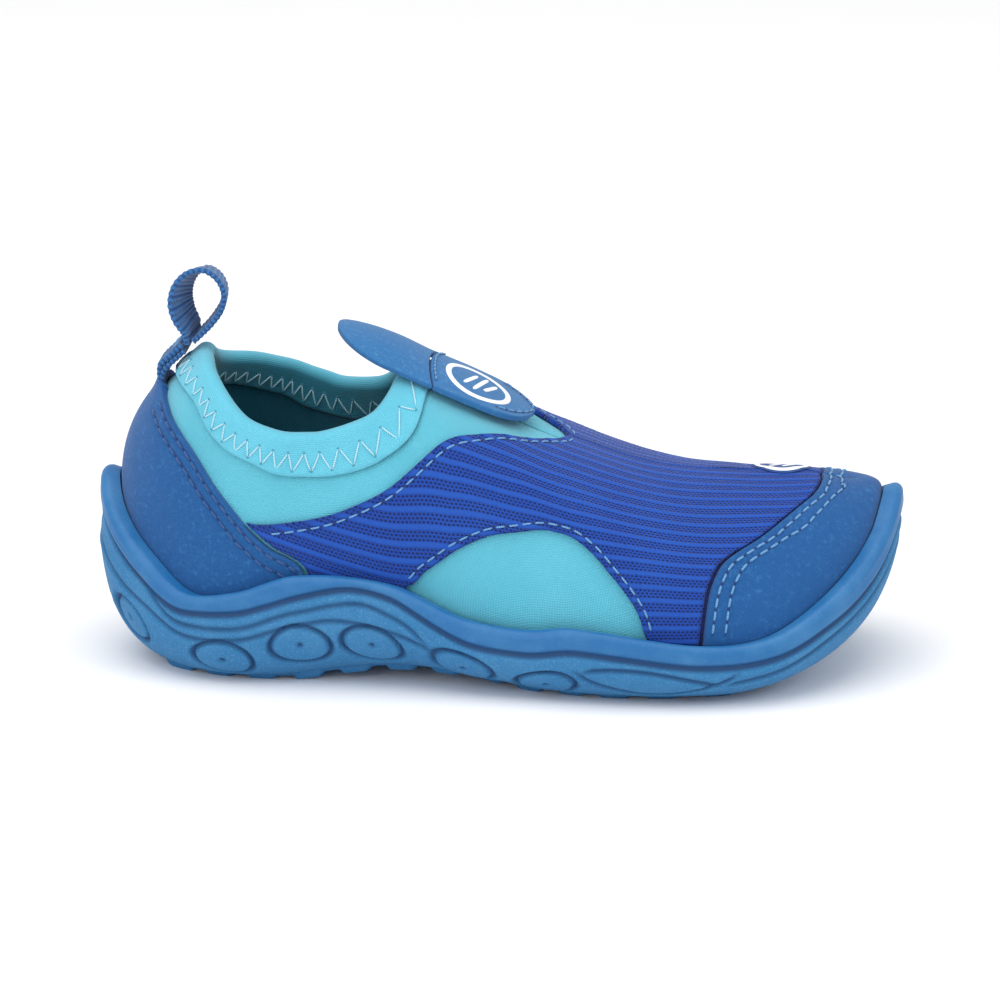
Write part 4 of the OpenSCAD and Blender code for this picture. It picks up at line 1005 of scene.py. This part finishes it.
# Line inside the toe cap's rear edge, right over the ridge.
def capLine(v, inside, level):
    u, t, side = overRidge(curveThrough(edges["cap"], 1 - np.abs(v)), v)
    base = lastPoint(u, t, side)
    rate = np.linalg.norm(lastPoint(u + .004, t, side) - base, axis=-1) / .004
    along = unitRows(np.gradient(base, axis=0))
    ahead = unitRows(lastPoint(u + .004, t, side) - base)
    lean = np.sqrt(np.maximum(1 - (along * ahead).sum(-1)**2, .12))
    u = u + inside / rate / lean
    return lastPoint(u, t, side) + level * lastNormal(u, t, side), lastNormal(u, t, side)


# Line inside the counter's front edge, measured in the surface.
def counterLine(side, inside, level, top=.615):
    t = np.linspace(.0, top, 240)
    u = curveThrough(edges["counter"], t)
    a, b = insetLine(u, t, side, -side * inside)
    return lastPoint(a, b, side) + level * lastNormal(a, b, side), lastNormal(a, b, side)


# Round the heel from edge to edge at every height.
def makeHeelCounter():
    t = stations(60, .55)[None, :] * (heelCounter["top"] + .12) - .12
    w = np.concatenate([-1 + np.array([0, .002, .006, .012, .02, .035]), np.linspace(-.95, .95, 190),
                        1 - np.array([.035, .02, .012, .006, .002, 0])])[:, None]
    h = curveThrough(edges["counter"], t) * w
    u, tt, side = roundHeel(h, t + 0 * h)
    n, m = u.shape
    seams = [(counterLine(s, inside, 0)[0],) + sewing["dent"] for s in (-1, 1) for inside in heelCounter["rows"]]
    cloth = clothPlace(u, tt, side)
    relief = .08 * wrinkles(cloth[..., 0], cloth[..., 1], 6, 2.2) * np.clip(np.abs(h) / .04, 0, 1)
    beside = lastPoint(u, tt, side)[..., 1] / 5.7                # the lip that covers the tape ends
    relief = relief + 1.0 * np.exp(-beside**6) * np.clip((tt - .52) / .13, 0, 1)**2
    rims = [("rear", 0, m), ("front", 0, m), ("low", 0, n), ("high", 0, n)]
    panelPiece("heelCounterPanel", u, tt, side, levels["panelOut"], levels["overlayIn"], rims, suede,
               ("heel_counter",), seams=seams, relief=relief)


# The stitch rows of the toe cap, the heel counter, the mesh edge and the window.
def makeSeams():
    v = np.linspace(-.97, .97, 500)
    capLines = [capLine(v, inside, .02) for inside in toeCap["rows"]]
    sewSeams("toeCapSeam", capLines, blueThread, ("toe_cap_stitching",))
    lines = [counterLine(s, inside, .02) for s in (-1, 1) for inside in heelCounter["rows"]]
    sewSeams("heelCounterSeam", lines, navyThread, ("heel_counter_stitching",))
    topLine = np.linspace(.3, .6285, 400)
    lines = [edgeSeam("mesh", topLine, s, -.2) for s in (-1, 1)]
    sewSeams("meshEdgeSeam", lines, blueThread, ("mesh_stitching",), radius=.2)
    win = np.linspace(.4315, .6325, 320)
    lines = [edgeSeam("window", win, s, -.2) for s in (-1, 1)]
    sewSeams("windowSeam", lines, blueThread, ("window_stitching",), radius=.2)


makeNeoprene()
makeBacking()
makeVampMesh()
makeToeCap()
makeHeelCounter()
makeSeams()
print("upper made")


# Collar, heel loop and tongue.
binding = {"stations": 420, "fold": (levels["leafOut"] - levels["innerLeafIn"]) / 2,
           "middle": (levels["leafOut"] + levels["innerLeafIn"]) / 2, "zigLow": .14, "zigHigh": .72, "zigs": 20,
           "thread": .17}


# Stations once round: out along the outer side, back along the inner.
def aroundCollar(count):
    k = np.concatenate([np.linspace(0, 1, count // 2 + 1), np.linspace(1, 0, count // 2 + 1)[1:-1]])
    side = np.where(np.arange(count) <= count // 2, -1.0, 1.0)
    return k, side


# The binding is one closed profile carried round the collar: outer leaf, half-round fold, inner leaf, and back inside.
def makeBinding():
    k, side = aroundCollar(binding["stations"])
    count = len(k)
    tipU, tipT = collarPlace(k, side)
    heart = skin(tipU, tipT, side, binding["middle"])
    out = lastNormal(tipU, tipT, side)
    lowU, lowT = collarPlace(k, side, .8)
    over = unitRows(heart - skin(lowU, lowT, side, binding["middle"]))
    run = runLength(heart)

    def leaf(shares, level):
        rows = []
        for share, lift in zip(shares, np.broadcast_to(level, len(shares))):
            u, t = collarPlace(k, side, share)
            pull = .16 * np.cos(2 * np.pi * run / 3.7) * np.exp(-((share - .14) / .12)**2)
            rows.append(skin(u, t, side, lift + pull * np.sign(lift + 2.25)))
        return rows
    bend = np.radians(np.linspace(12, 168, 14))
    fold = lambda angle, r: heart + r * (out * np.cos(angle) + over * np.sin(angle))
    shares = np.array([0, .02, .06, .12, .2, .3, .4, .5, .6, .7, .8, .9, .97])
    edge = np.where(shares < .06, -.3 * (1 - shares / .06), 0)
    rows = (leaf(shares, levels["leafOut"] + edge) + [fold(a, binding["fold"]) for a in bend]
            + leaf(shares[::-1], levels["innerLeafIn"] - edge[::-1]) + leaf(shares[::3], levels["innerLeafOut"])
            + [fold(a, binding["fold"] - .7) for a in bend[::-4]] + leaf(shares[::-3], levels["leafIn"]))
    grid = np.stack(rows, 1)
    across = runLength(grid, 1)
    cloth = np.stack([np.broadcast_to(run[:, None], across.shape), across, 0 * across], -1)
    # Painted shade: 0 on the outer leaf, rising over the fold to 1 on the inner leaf, which the jersey darkens as the
    # shade inside the collar.
    lining = np.concatenate([np.zeros(len(shares)), np.linspace(0, 1, len(bend))**2,
                             np.ones(grid.shape[1] - len(shares) - len(bend))])
    makePiece("collarBinding", grid, gridFaces(count, grid.shape[1], True, True), bindingFinish,
              ("collar_binding",), values={"cloth": cloth.reshape(-1, 3), "inner": np.tile(lining, count)})


# Zigzag: every leg is one stitch on the surface between a low and a high needle hole.
def zigzagPart(level, low, high, zigs, outwards):
    parts, holes = [], []
    for side in (-1, 1):
        k = np.linspace(.012, .985, 2 * zigs + 1)
        foot, tip = collarPlace(k, side + 0 * k, 0 * k), collarPlace(k, side + 0 * k, 0 * k + 1)
        wide = np.linalg.norm(lastPoint(tip[0], tip[1], side + 0 * k) - lastPoint(foot[0], foot[1], side + 0 * k),
                              axis=-1)
        share = np.where(np.arange(len(k)) % 2 == 0, low, low + (high - low) * np.minimum(1, 8.2 / wide))
        x = np.linspace(.03, .97, 7)[None]
        legK, legS = mix(k[:-1, None], k[1:, None], x), mix(share[:-1, None], share[1:, None], x)
        u, t = collarPlace(legK, side + 0 * legK, legS)
        out = lastNormal(u, t, side + 0 * u) * outwards
        path = lastPoint(u, t, side + 0 * u) + level * lastNormal(u, t, side + 0 * u)
        parts.append(threadMesh(path, out, binding["thread"], .12))
        way = unitRows(path[:, 1:2] - path[:, :1])
        holes.append(threadMesh(path[:, -1:] + np.linspace(-.25, .25, 5)[None, :, None] * way,
                                out[:, -1:] + np.zeros((1, 5, 1)), .26, .02, .25, 8))
    return joinMeshes(parts), joinMeshes(holes)


# One zigzag on the outer leaf, one on the lining leaf.
def makeZigzags():
    for name, node, level, outwards in (("collarZigzag", "collar_zigzag", levels["leafOut"] + .02, 1),
                                        ("innerZigzag", "lining_zigzag", levels["innerLeafIn"] - .02, -1)):
        threads, holes = zigzagPart(level, binding["zigLow"], binding["zigHigh"], binding["zigs"], outwards)
        makePiece(name, threads[0], threads[1], paleThread, (node,), values={"cloth": threads[2]})
        makePiece(name + "Holes", holes[0], holes[1], tealHole, values={"cloth": holes[2]})


loopSpot = np.array([-61.093, 0, 65.571])                      # hinge line of the loop
heelLoop = {
    # forwards, up, sideways from the hinge line, and how far the tape turns about its own run
    "path": [(0, -.5, -.3, 0, 6), (1, -.6, 1.9, -.2, 12), (2, -2.0, 4.8, -.5, 18), (3, -2.6, 7.8, -.6, 20),
             (4, -1.9, 10.8, -.4, 18), (5, 0, 13.0, -.1, 14), (6, 2.6, 13.7, .1, 10), (7, 5.0, 12.2, .2, 8),
             (8, 6.2, 9.4, .3, 6), (9, 5.7, 6.4, .3, 4), (10, 4.1, 3.8, .2, 2), (11, 2.1, 1.5, .1, 0),
             (12, .3, -.2, 0, 0)],
    "tackRows": 4,
}


# Tape: a flat rounded section carried along a run; wide points across it, out through it.
def tapePiece(name, centre, wide, out, thick, look, stands, body):
    count = len(centre)
    half = tapeLook["width"] / 2
    across = tapeLook["across"]
    around = 2 * across
    w = np.concatenate([np.linspace(-1, 1, across), np.linspace(1, -1, across)])
    topSide = np.arange(around) < across
    bulge = np.sqrt(np.maximum(1 - np.abs(w)**12, 0))
    run = runLength(centre)
    rib = np.cos(2 * np.pi * run / tapeLook["rib"])[:, None]
    selvedge = np.exp(-((np.abs(w) - .93) / .05)**2)[None]
    level = np.where(topSide, 1, -1)[None] * (thick / 2 * bulge[None] + .09 * rib * bulge[None] + .1 * selvedge)
    grid = (centre[:, None] + (half * w[None] * (1 - .012 * (1 - rib)))[..., None] * wide[:, None]
            + level[..., None] * out[:, None])
    caps = np.stack([grid[0].mean(0), grid[-1].mean(0)])
    faces = gridFaces(count, around, wrapJ=True)
    j, nextJ, tail = np.arange(around), (np.arange(around) + 1) % around, (count - 1) * around
    first = np.stack([np.full(around, count * around), nextJ, j], -1)
    final = np.stack([np.full(around, count * around + 1), tail + j, tail + nextJ], -1)
    points = np.concatenate([grid.reshape(-1, 3), caps])
    cloth = np.stack([np.broadcast_to(run[:, None], level.shape), np.broadcast_to(half * w[None], level.shape), level],
                     -1)
    cloth = np.concatenate([cloth.reshape(-1, 3), np.zeros((2, 3))])
    return makePiece(name, points, faces.tolist() + first.tolist() + final.tolist(), look, stands, body,
                     {"cloth": cloth}, 60)


# The loop follows its keys; its flat side is turned about the run.
def makeLoop():
    s = np.linspace(0, 12, 300)
    keys = splineThrough(heelLoop["path"], s)
    centre = loopSpot + np.stack([keys[:, 0], keys[:, 2], keys[:, 1]], -1)
    along = unitRows(np.gradient(centre, axis=0))
    flat = unitRows(np.cross(along, np.cross(np.array([0, 1.0, 0]), along)))
    out = unitRows(np.cross(flat, along))
    turn = np.radians(keys[:, 3])[:, None]
    wide = flat * np.cos(turn) + out * np.sin(turn)
    tapePiece("heelLoopTape", centre, wide, unitRows(np.cross(wide, along)), tapeLook["thick"] - .1, tape,
              ("heel_loop",), "heel_loop")

    # Sewn base: the two ends of the tape lie on each other on the heel.
    for name, level, top, stands in (("loopBaseUnder", levels["baseIn"] + .6, .892, ()),
                                     ("loopBaseOver", levels["baseOut"] - .6, .906, ("heel_loop_base",))):
        t = np.linspace(.635, top, 120)
        u, side = 0 * t, 0 * t - 1
        tucked = np.clip(1 - (t - .65) / .085, 0, 1)**1.5
        level = mix(level, .3 * level - .85, tucked)
        spine = lastPoint(u, t, side) + level[:, None] * lastNormal(u, t, side)
        spine[:, 1] += .15 * np.sin(spine[:, 2] / 3)
        way = np.broadcast_to(np.array([0, 1.0, 0]), spine.shape)
        tapePiece(name, spine, way, lastNormal(u, t, side), tapeLook["thick"] - .12, tape, stands, "shoe")

    # Bar tacks: close rows of thread across the top of the base.
    parts = []
    for low, high, rows in ((.85, .888, heelLoop["tackRows"]),):
        for t0 in np.linspace(low, high, rows):
            y = np.linspace(-3.6, 3.6, 19)
            a, b = y[:-1, None], y[1:, None]
            x = np.linspace(0, 1, 7)[None]
            yy = mix(a, b, x)
            tt = t0 + .006 * np.where(np.arange(18) % 2 == 0, 1, -1)[:, None] * (2 * x - 1)
            uu = 0 * tt
            out3 = lastNormal(uu, tt, uu - 1)
            path = lastPoint(uu, tt, uu - 1) + (levels["baseOut"] + .02) * out3
            path[..., 1] += yy
            parts.append(threadMesh(path, out3, .16, .06))
    points, faces, cloth = joinMeshes(parts)
    makePiece("loopBarTacks", points, faces, blueThread, ("loop_bartack",), values={"cloth": cloth})


tongue = {"rear": .505, "tabLength": 19, "tabHalf": 11, "tabThick": 1.2, "start": 34, "end": 4,
          "round": 18, "full": .35, "gap": .4, "badgeU": .548, "badgeV": -.03, "badge": 7.2, "ring": 1.25,
          "vampU": .85, "vampV": .12, "vampR": 6}


# Patch over the ridge: its half width follows the patch edge.
def makePatch():
    a = stations(20, .3, (0, .08, .2, .35, .55, .8))
    b = np.linspace(-1, 1, 121)
    endU = edges["patch"][-1][0]
    u = mix(tongue["rear"], endU, a)[:, None] + 0 * b[None]
    half = curveThrough(edges["patch"], u)
    v = half * np.sign(b) * (1 - (1 - np.abs(b))**1.15)
    uu, t, side = overRidge(u, v)
    n, m = uu.shape
    rimLine = np.linspace(tongue["rear"], endU - .002, 200)
    seams = []
    for s in (-1, 1):
        tt = 1 - np.maximum(curveThrough(edges["patch"], rimLine) - .032, 0)
        seams.append((lastPoint(rimLine, tt, s + 0 * tt), .5, .12, 2.2))
    rims = [("rear", 0, m), ("front", 0, m), ("low", 0, n), ("high", 0, n)]
    cloth = clothPlace(uu, t, side)
    panelPiece("tonguePatch", uu, t, side, levels["patchOut"], levels["patchIn"], rims, tabSuede,
               ("tongue_patch",), roll=.3, seams=seams, relief=.05 * wrinkles(cloth[..., 0], cloth[..., 1], 5, 1))


tabSpot = np.array([-14.483, 0, 62.389])                       # hinge line of the pull tab


# Point of the pull tab: an arc that flattens from 34 to 4 degrees, bent across over an 18 mm radius.
def tabPoint(s, w, lift):
    start, end = math.radians(tongue["start"]), math.radians(tongue["end"])
    r = tongue["tabLength"] / (start - end)
    angle = mix(start, end, s)
    back = r * (math.sin(start) - np.sin(angle))
    climb = r * (np.cos(angle) - math.cos(start))
    full = tongue["full"]
    past = np.clip((s - full) / (1 - full), 0, 1)
    half = tongue["tabHalf"] * np.where(s < full, mix(.96, 1, s / full), np.sqrt(np.maximum(1 - past**2, 0)))
    swing = half * w / tongue["round"]
    depth = (tongue["round"] + lift) * np.cos(swing) - tongue["round"]
    return tabSpot + np.stack([depth * np.sin(angle) - back, (tongue["round"] + lift) * np.sin(swing),
                               depth * np.cos(angle) + climb], -1)


# Tab leaf, whose root runs into the patch edge, and the seams round it.
def makeTab():
    n, m = 120, 101
    q = np.linspace(0, 1, n)
    s = (1 - (1 - q)**1.6)[:, None] * (.998 - tongue["gap"] / 19) + tongue["gap"] / 19
    w = np.sin(np.linspace(-1, 1, m) * np.pi / 2)[None] + 0 * s
    s = s + 0 * w
    toPatch = np.clip(1 - (s - s[0, 0]) / .3, 0, 1)**2
    patchHalf = float(curveThrough(edges["patch"], tongue["rear"]))
    rootU, rootT, rootSide = overRidge(tongue["rear"] - .0018 + 0 * w, patchHalf * w)
    rootSpot, rootOut = lastPoint(rootU, rootT, rootSide), lastNormal(rootU, rootT, rootSide)

    def leafPoint(lift):
        root = rootSpot + (levels["patchOut"] - .6 + lift)[..., None] * rootOut
        return mix(tabPoint(s, w, lift), root, toPatch[..., None])
    middle = leafPoint(0 * s)
    edge = np.full(s.shape, 99.0)
    for line in (middle[0], middle[-1], middle[:, 0], middle[:, -1]):
        edge = np.minimum(edge, distanceTo(middle, line)[0])
    sink = .28 * (1 - np.sqrt(1 - np.clip(1 - edge / .28, 0, 1)**2))
    thick = tongue["tabThick"] / 2
    wave = .12 * wrinkles(middle[..., 0], middle[..., 1], 5, 3)
    outer = leafPoint(thick - sink + wave)
    inner = leafPoint(-thick + sink + wave)
    points = np.concatenate([outer.reshape(-1, 3), inner.reshape(-1, 3)])
    rims = [("rear", 0, m), ("front", 0, m), ("low", 0, n), ("high", 0, n)]
    cloth = np.stack([runLength(middle, 0), runLength(middle, 1), 0 * s], -1).reshape(-1, 3)
    makePiece("pullTabLeaf", points, shellFaces(n, m, rims), tabSuede, ("pull_tab",), "pull_tab",
              {"cloth": np.concatenate([cloth] * 2), "rim": np.concatenate([edge.ravel()] * 2)})
    v = np.linspace(-.165, .165, 120)
    u, t, side = overRidge(tongue["rear"] + .0035 + 0 * v, v)
    line = lastPoint(u, t, side) + (levels["patchOut"] + .02) * lastNormal(u, t, side)
    sewSeams("tabCrossSeam", [(line, lastNormal(u, t, side))], blueThread, ("tab_seam",), pitch=1.5,
             radius=.2)
    rim = np.linspace(.562, .5945, 60)
    lines = []
    for half in (-1, 1):
        tt = 1 - np.maximum(curveThrough(edges["patch"], rim) - .032, .004)
        out = lastNormal(rim, tt, half + 0 * tt)
        lines.append((lastPoint(rim, tt, half + 0 * tt) + (levels["patchOut"] + .02) * out, out))
    sewSeams("patchSeam", lines, blueThread, ("patch_stitching",), pitch=2.2, radius=.17)


# Place on the upper under a point p millimetres ahead and c across in the flat that touches it: a few Newton steps.
def printPlace(u0, v0, p, c):
    spot = lambda u, v: lastPoint(*overRidge(u, v))
    u, v = u0 + 0 * p, v0 + 0 * p
    e = .004
    start = spot(u, v)
    ahead = unitRows(spot(u + e, v) - spot(u - e, v))
    acrossWay = spot(u, v + e) - spot(u, v - e)
    acrossWay = unitRows(acrossWay - (acrossWay * ahead).sum(-1)[..., None] * ahead)
    for step in range(5):
        gap = spot(u, v) - start
        missP, missC = p - (gap * ahead).sum(-1), c - (gap * acrossWay).sum(-1)
        du, dv = (spot(u + e, v) - spot(u - e, v)) / (2 * e), (spot(u, v + e) - spot(u, v - e)) / (2 * e)
        up, uc, vp, vc = ((way * axis).sum(-1) for way in (du, dv) for axis in (ahead, acrossWay))
        det = up * vc - uc * vp
        u, v = u + (missP * vc - missC * vp) / det, v + (missC * up - missP * uc) / det
    return overRidge(u, v)


# A raised print: a strip of a given width along a closed or open line drawn in millimetres.
def printStrip(name, u0, v0, p, c, width, low, high, look, closed, stands=()):
    count = len(p)
    dp, dc = np.gradient(p), np.gradient(c)
    if closed:
        dp, dc = np.roll(p, -1) - np.roll(p, 1), np.roll(c, -1) - np.roll(c, 1)
    size = np.hypot(dp, dc)
    across = np.linspace(-.5, .5, 9)[None]
    pp = p[:, None] - (dc / size)[:, None] * across * np.reshape(width, (-1, 1))
    cc = c[:, None] + (dp / size)[:, None] * across * np.reshape(width, (-1, 1))
    u, t, side = printPlace(u0, v0, pp, cc)
    base, out = lastPoint(u, t, side), lastNormal(u, t, side)
    crown = np.sqrt(np.maximum(1 - (2 * across)**6, 0)) + 0 * pp
    upper = base + mix(low, high, crown)[..., None] * out
    lower = base[:, 1:-1] + (low - .05) * out[:, 1:-1]
    ring = np.concatenate([upper, lower[:, ::-1]], 1)
    m = ring.shape[1]
    faces = gridFaces(count, m, closed, True)
    if not closed:
        ends = [list(range(m))[::-1], [(count - 1) * m + j for j in range(m)]]
        faces = faces.tolist() + ends
    return makePiece(name, ring, faces, look, stands)


# Rings and bars laid on the patch and the toe.
def makePrints():
    level = levels["patchOut"]
    a = np.linspace(0, 2 * np.pi, 121)[:-1]
    r = tongue["badge"] - tongue["ring"] / 2
    printStrip("tongueRing", tongue["badgeU"], tongue["badgeV"], r * np.cos(a), r * np.sin(a), tongue["ring"], level,
               level + .16, whitePrint, True, ("tongue_badge",))
    x = np.linspace(-1, 1, 60)
    for i, (ahead, reach) in enumerate(((-1.7, 3.2), (.5, 4.2), (2.6, 2.6))):   # three slanting bars inside the ring
        printStrip("tongueBar%d" % (i + 1), tongue["badgeU"], tongue["badgeV"], ahead + 1.1 * x, reach * x,
                   .95 * np.sqrt(np.maximum(1 - x**6, .05)), level, level + .15, whitePrint, False)
    # Toe badge: a deep blue disc with a white ring and two slanting bars.
    top = -.1
    rr = np.linspace(.02, tongue["vampR"], 26)
    aa = np.linspace(0, 2 * np.pi, 97)[:-1]
    p, c = rr[None] * np.cos(aa)[:, None], rr[None] * np.sin(aa)[:, None]
    u, t, side = printPlace(tongue["vampU"], tongue["vampV"], p, c)
    base, out = lastPoint(u, t, side), lastNormal(u, t, side)
    crown = .22 + .16 * np.sqrt(np.maximum(1 - (rr / tongue["vampR"])**8, 0))[None] + 0 * p
    upper, lower = base + (top + crown)[..., None] * out, base + (top + .05) * out
    ring = np.concatenate([upper, lower[:, ::-1]], 1)
    makePiece("toeBadgeDisc", ring, gridFaces(96, ring.shape[1], True, True), deepPrint, ("vamp_badge",))
    printStrip("toeBadgeRing", tongue["vampU"], tongue["vampV"], 5.0 * np.cos(a), 5.0 * np.sin(a), 1.1, top + .4,
               top + .56, whitePrint, True)
    x = np.linspace(-1, 1, 60)
    for i, (ahead, reach) in enumerate(((-1.3, 2.3), (1.3, 2.3))):
        printStrip("toeBadgeBar%d" % (i + 1), tongue["vampU"], tongue["vampV"], ahead + .8 * x, reach * x,
                   .95 * np.sqrt(np.maximum(1 - x**6, .05)), top + .34, top + .5, whitePrint, False)


makeBinding()
makeZigzags()
makeLoop()
makePatch()
makeTab()
makePrints()
print("collar, loop and tongue made")

for node, look in (("strobel_board", boardFinish), ("footbed_foam", foamFinish), ("footbed_cloth", footbedFinish),
                   ("strobel_seam", paleThread)):
    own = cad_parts[node]
    own.data.materials.clear()
    own.data.materials.append(look)


# Floor, light and camera.
stage = {"floor": 3.0, "floorTone": .97, "skyTone": 1.0, "skyPower": .7, "lens": 180, "distance": 1.0,
         "aim": (0, -sideShift * .001, .033), "azimuth": 5, "elevation": 17}


def makeStage():
    mesh = bpy.data.meshes.new("floor")
    h = stage["floor"]
    mesh.from_pydata([(-h, -h, 0), (h, -h, 0), (h, h, 0), (-h, h, 0)], [], [(0, 1, 2, 3)])
    f = Finish("paleFloor", {"Roughness": .9, "Specular IOR Level": .1})
    tone = stage["floorTone"]
    f.set({"Base Color": f.blend(f.noise(60).step(.2, .8), (tone, tone, tone, 1),
                                 (tone * .99, tone * .99, tone, 1))})
    mesh.materials.append(f.material)
    floor = bpy.data.objects.new("floor", mesh)
    bpy.context.scene.collection.objects.link(floor)
    floor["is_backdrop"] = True
    world = bpy.data.worlds.new("softSky")
    world.use_nodes = True
    sky = world.node_tree.nodes["Background"]
    sky.inputs["Color"].default_value = (stage["skyTone"],) * 3 + (1,)
    sky.inputs["Strength"].default_value = stage["skyPower"]
    bpy.context.scene.world = world
    lamps = [("topPanel", (-.1, -.25, 1.2), (0, 0, .03), 1.2, 8.5),
             ("frontPanel", (-.7, -1.1, .7), (0, 0, .03), .8, 4.6), ("sidePanel", (1.1, -.5, .8), (0, 0, .03), .6, 3.2)]
    for name, at, to, size, power in lamps:
        lamp = bpy.data.lights.new(name, "AREA")
        lamp.size, lamp.energy = size, power
        holder = bpy.data.objects.new(name, lamp)
        holder.location = at
        away = np.array(to) - np.array(at)
        holder.rotation_euler = Vector(away).to_track_quat("-Z", "Y").to_euler()
        bpy.context.scene.collection.objects.link(holder)


def makeCamera():
    a, e = math.radians(stage["azimuth"]), math.radians(stage["elevation"])
    back = Vector((math.sin(a) * math.cos(e), -math.cos(a) * math.cos(e), math.sin(e)))
    lens = bpy.data.cameras.new("view")
    lens.lens, lens.sensor_width, lens.clip_end = stage["lens"], 36, 20
    holder = bpy.data.objects.new("view", lens)
    holder.location = Vector(stage["aim"]) + back * stage["distance"]
    holder.rotation_mode = "QUATERNION"
    holder.rotation_quaternion = (-back).to_track_quat("-Z", "Y")
    bpy.context.scene.collection.objects.link(holder)
    bpy.context.scene.camera = holder


makeStage()
makeCamera()
bpy.context.scene.view_settings.view_transform = "Standard"
low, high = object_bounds()
{"cad": [list(cadLow), list(cadHigh)], "visual": [list(low), list(high)]}
print("stage ready")
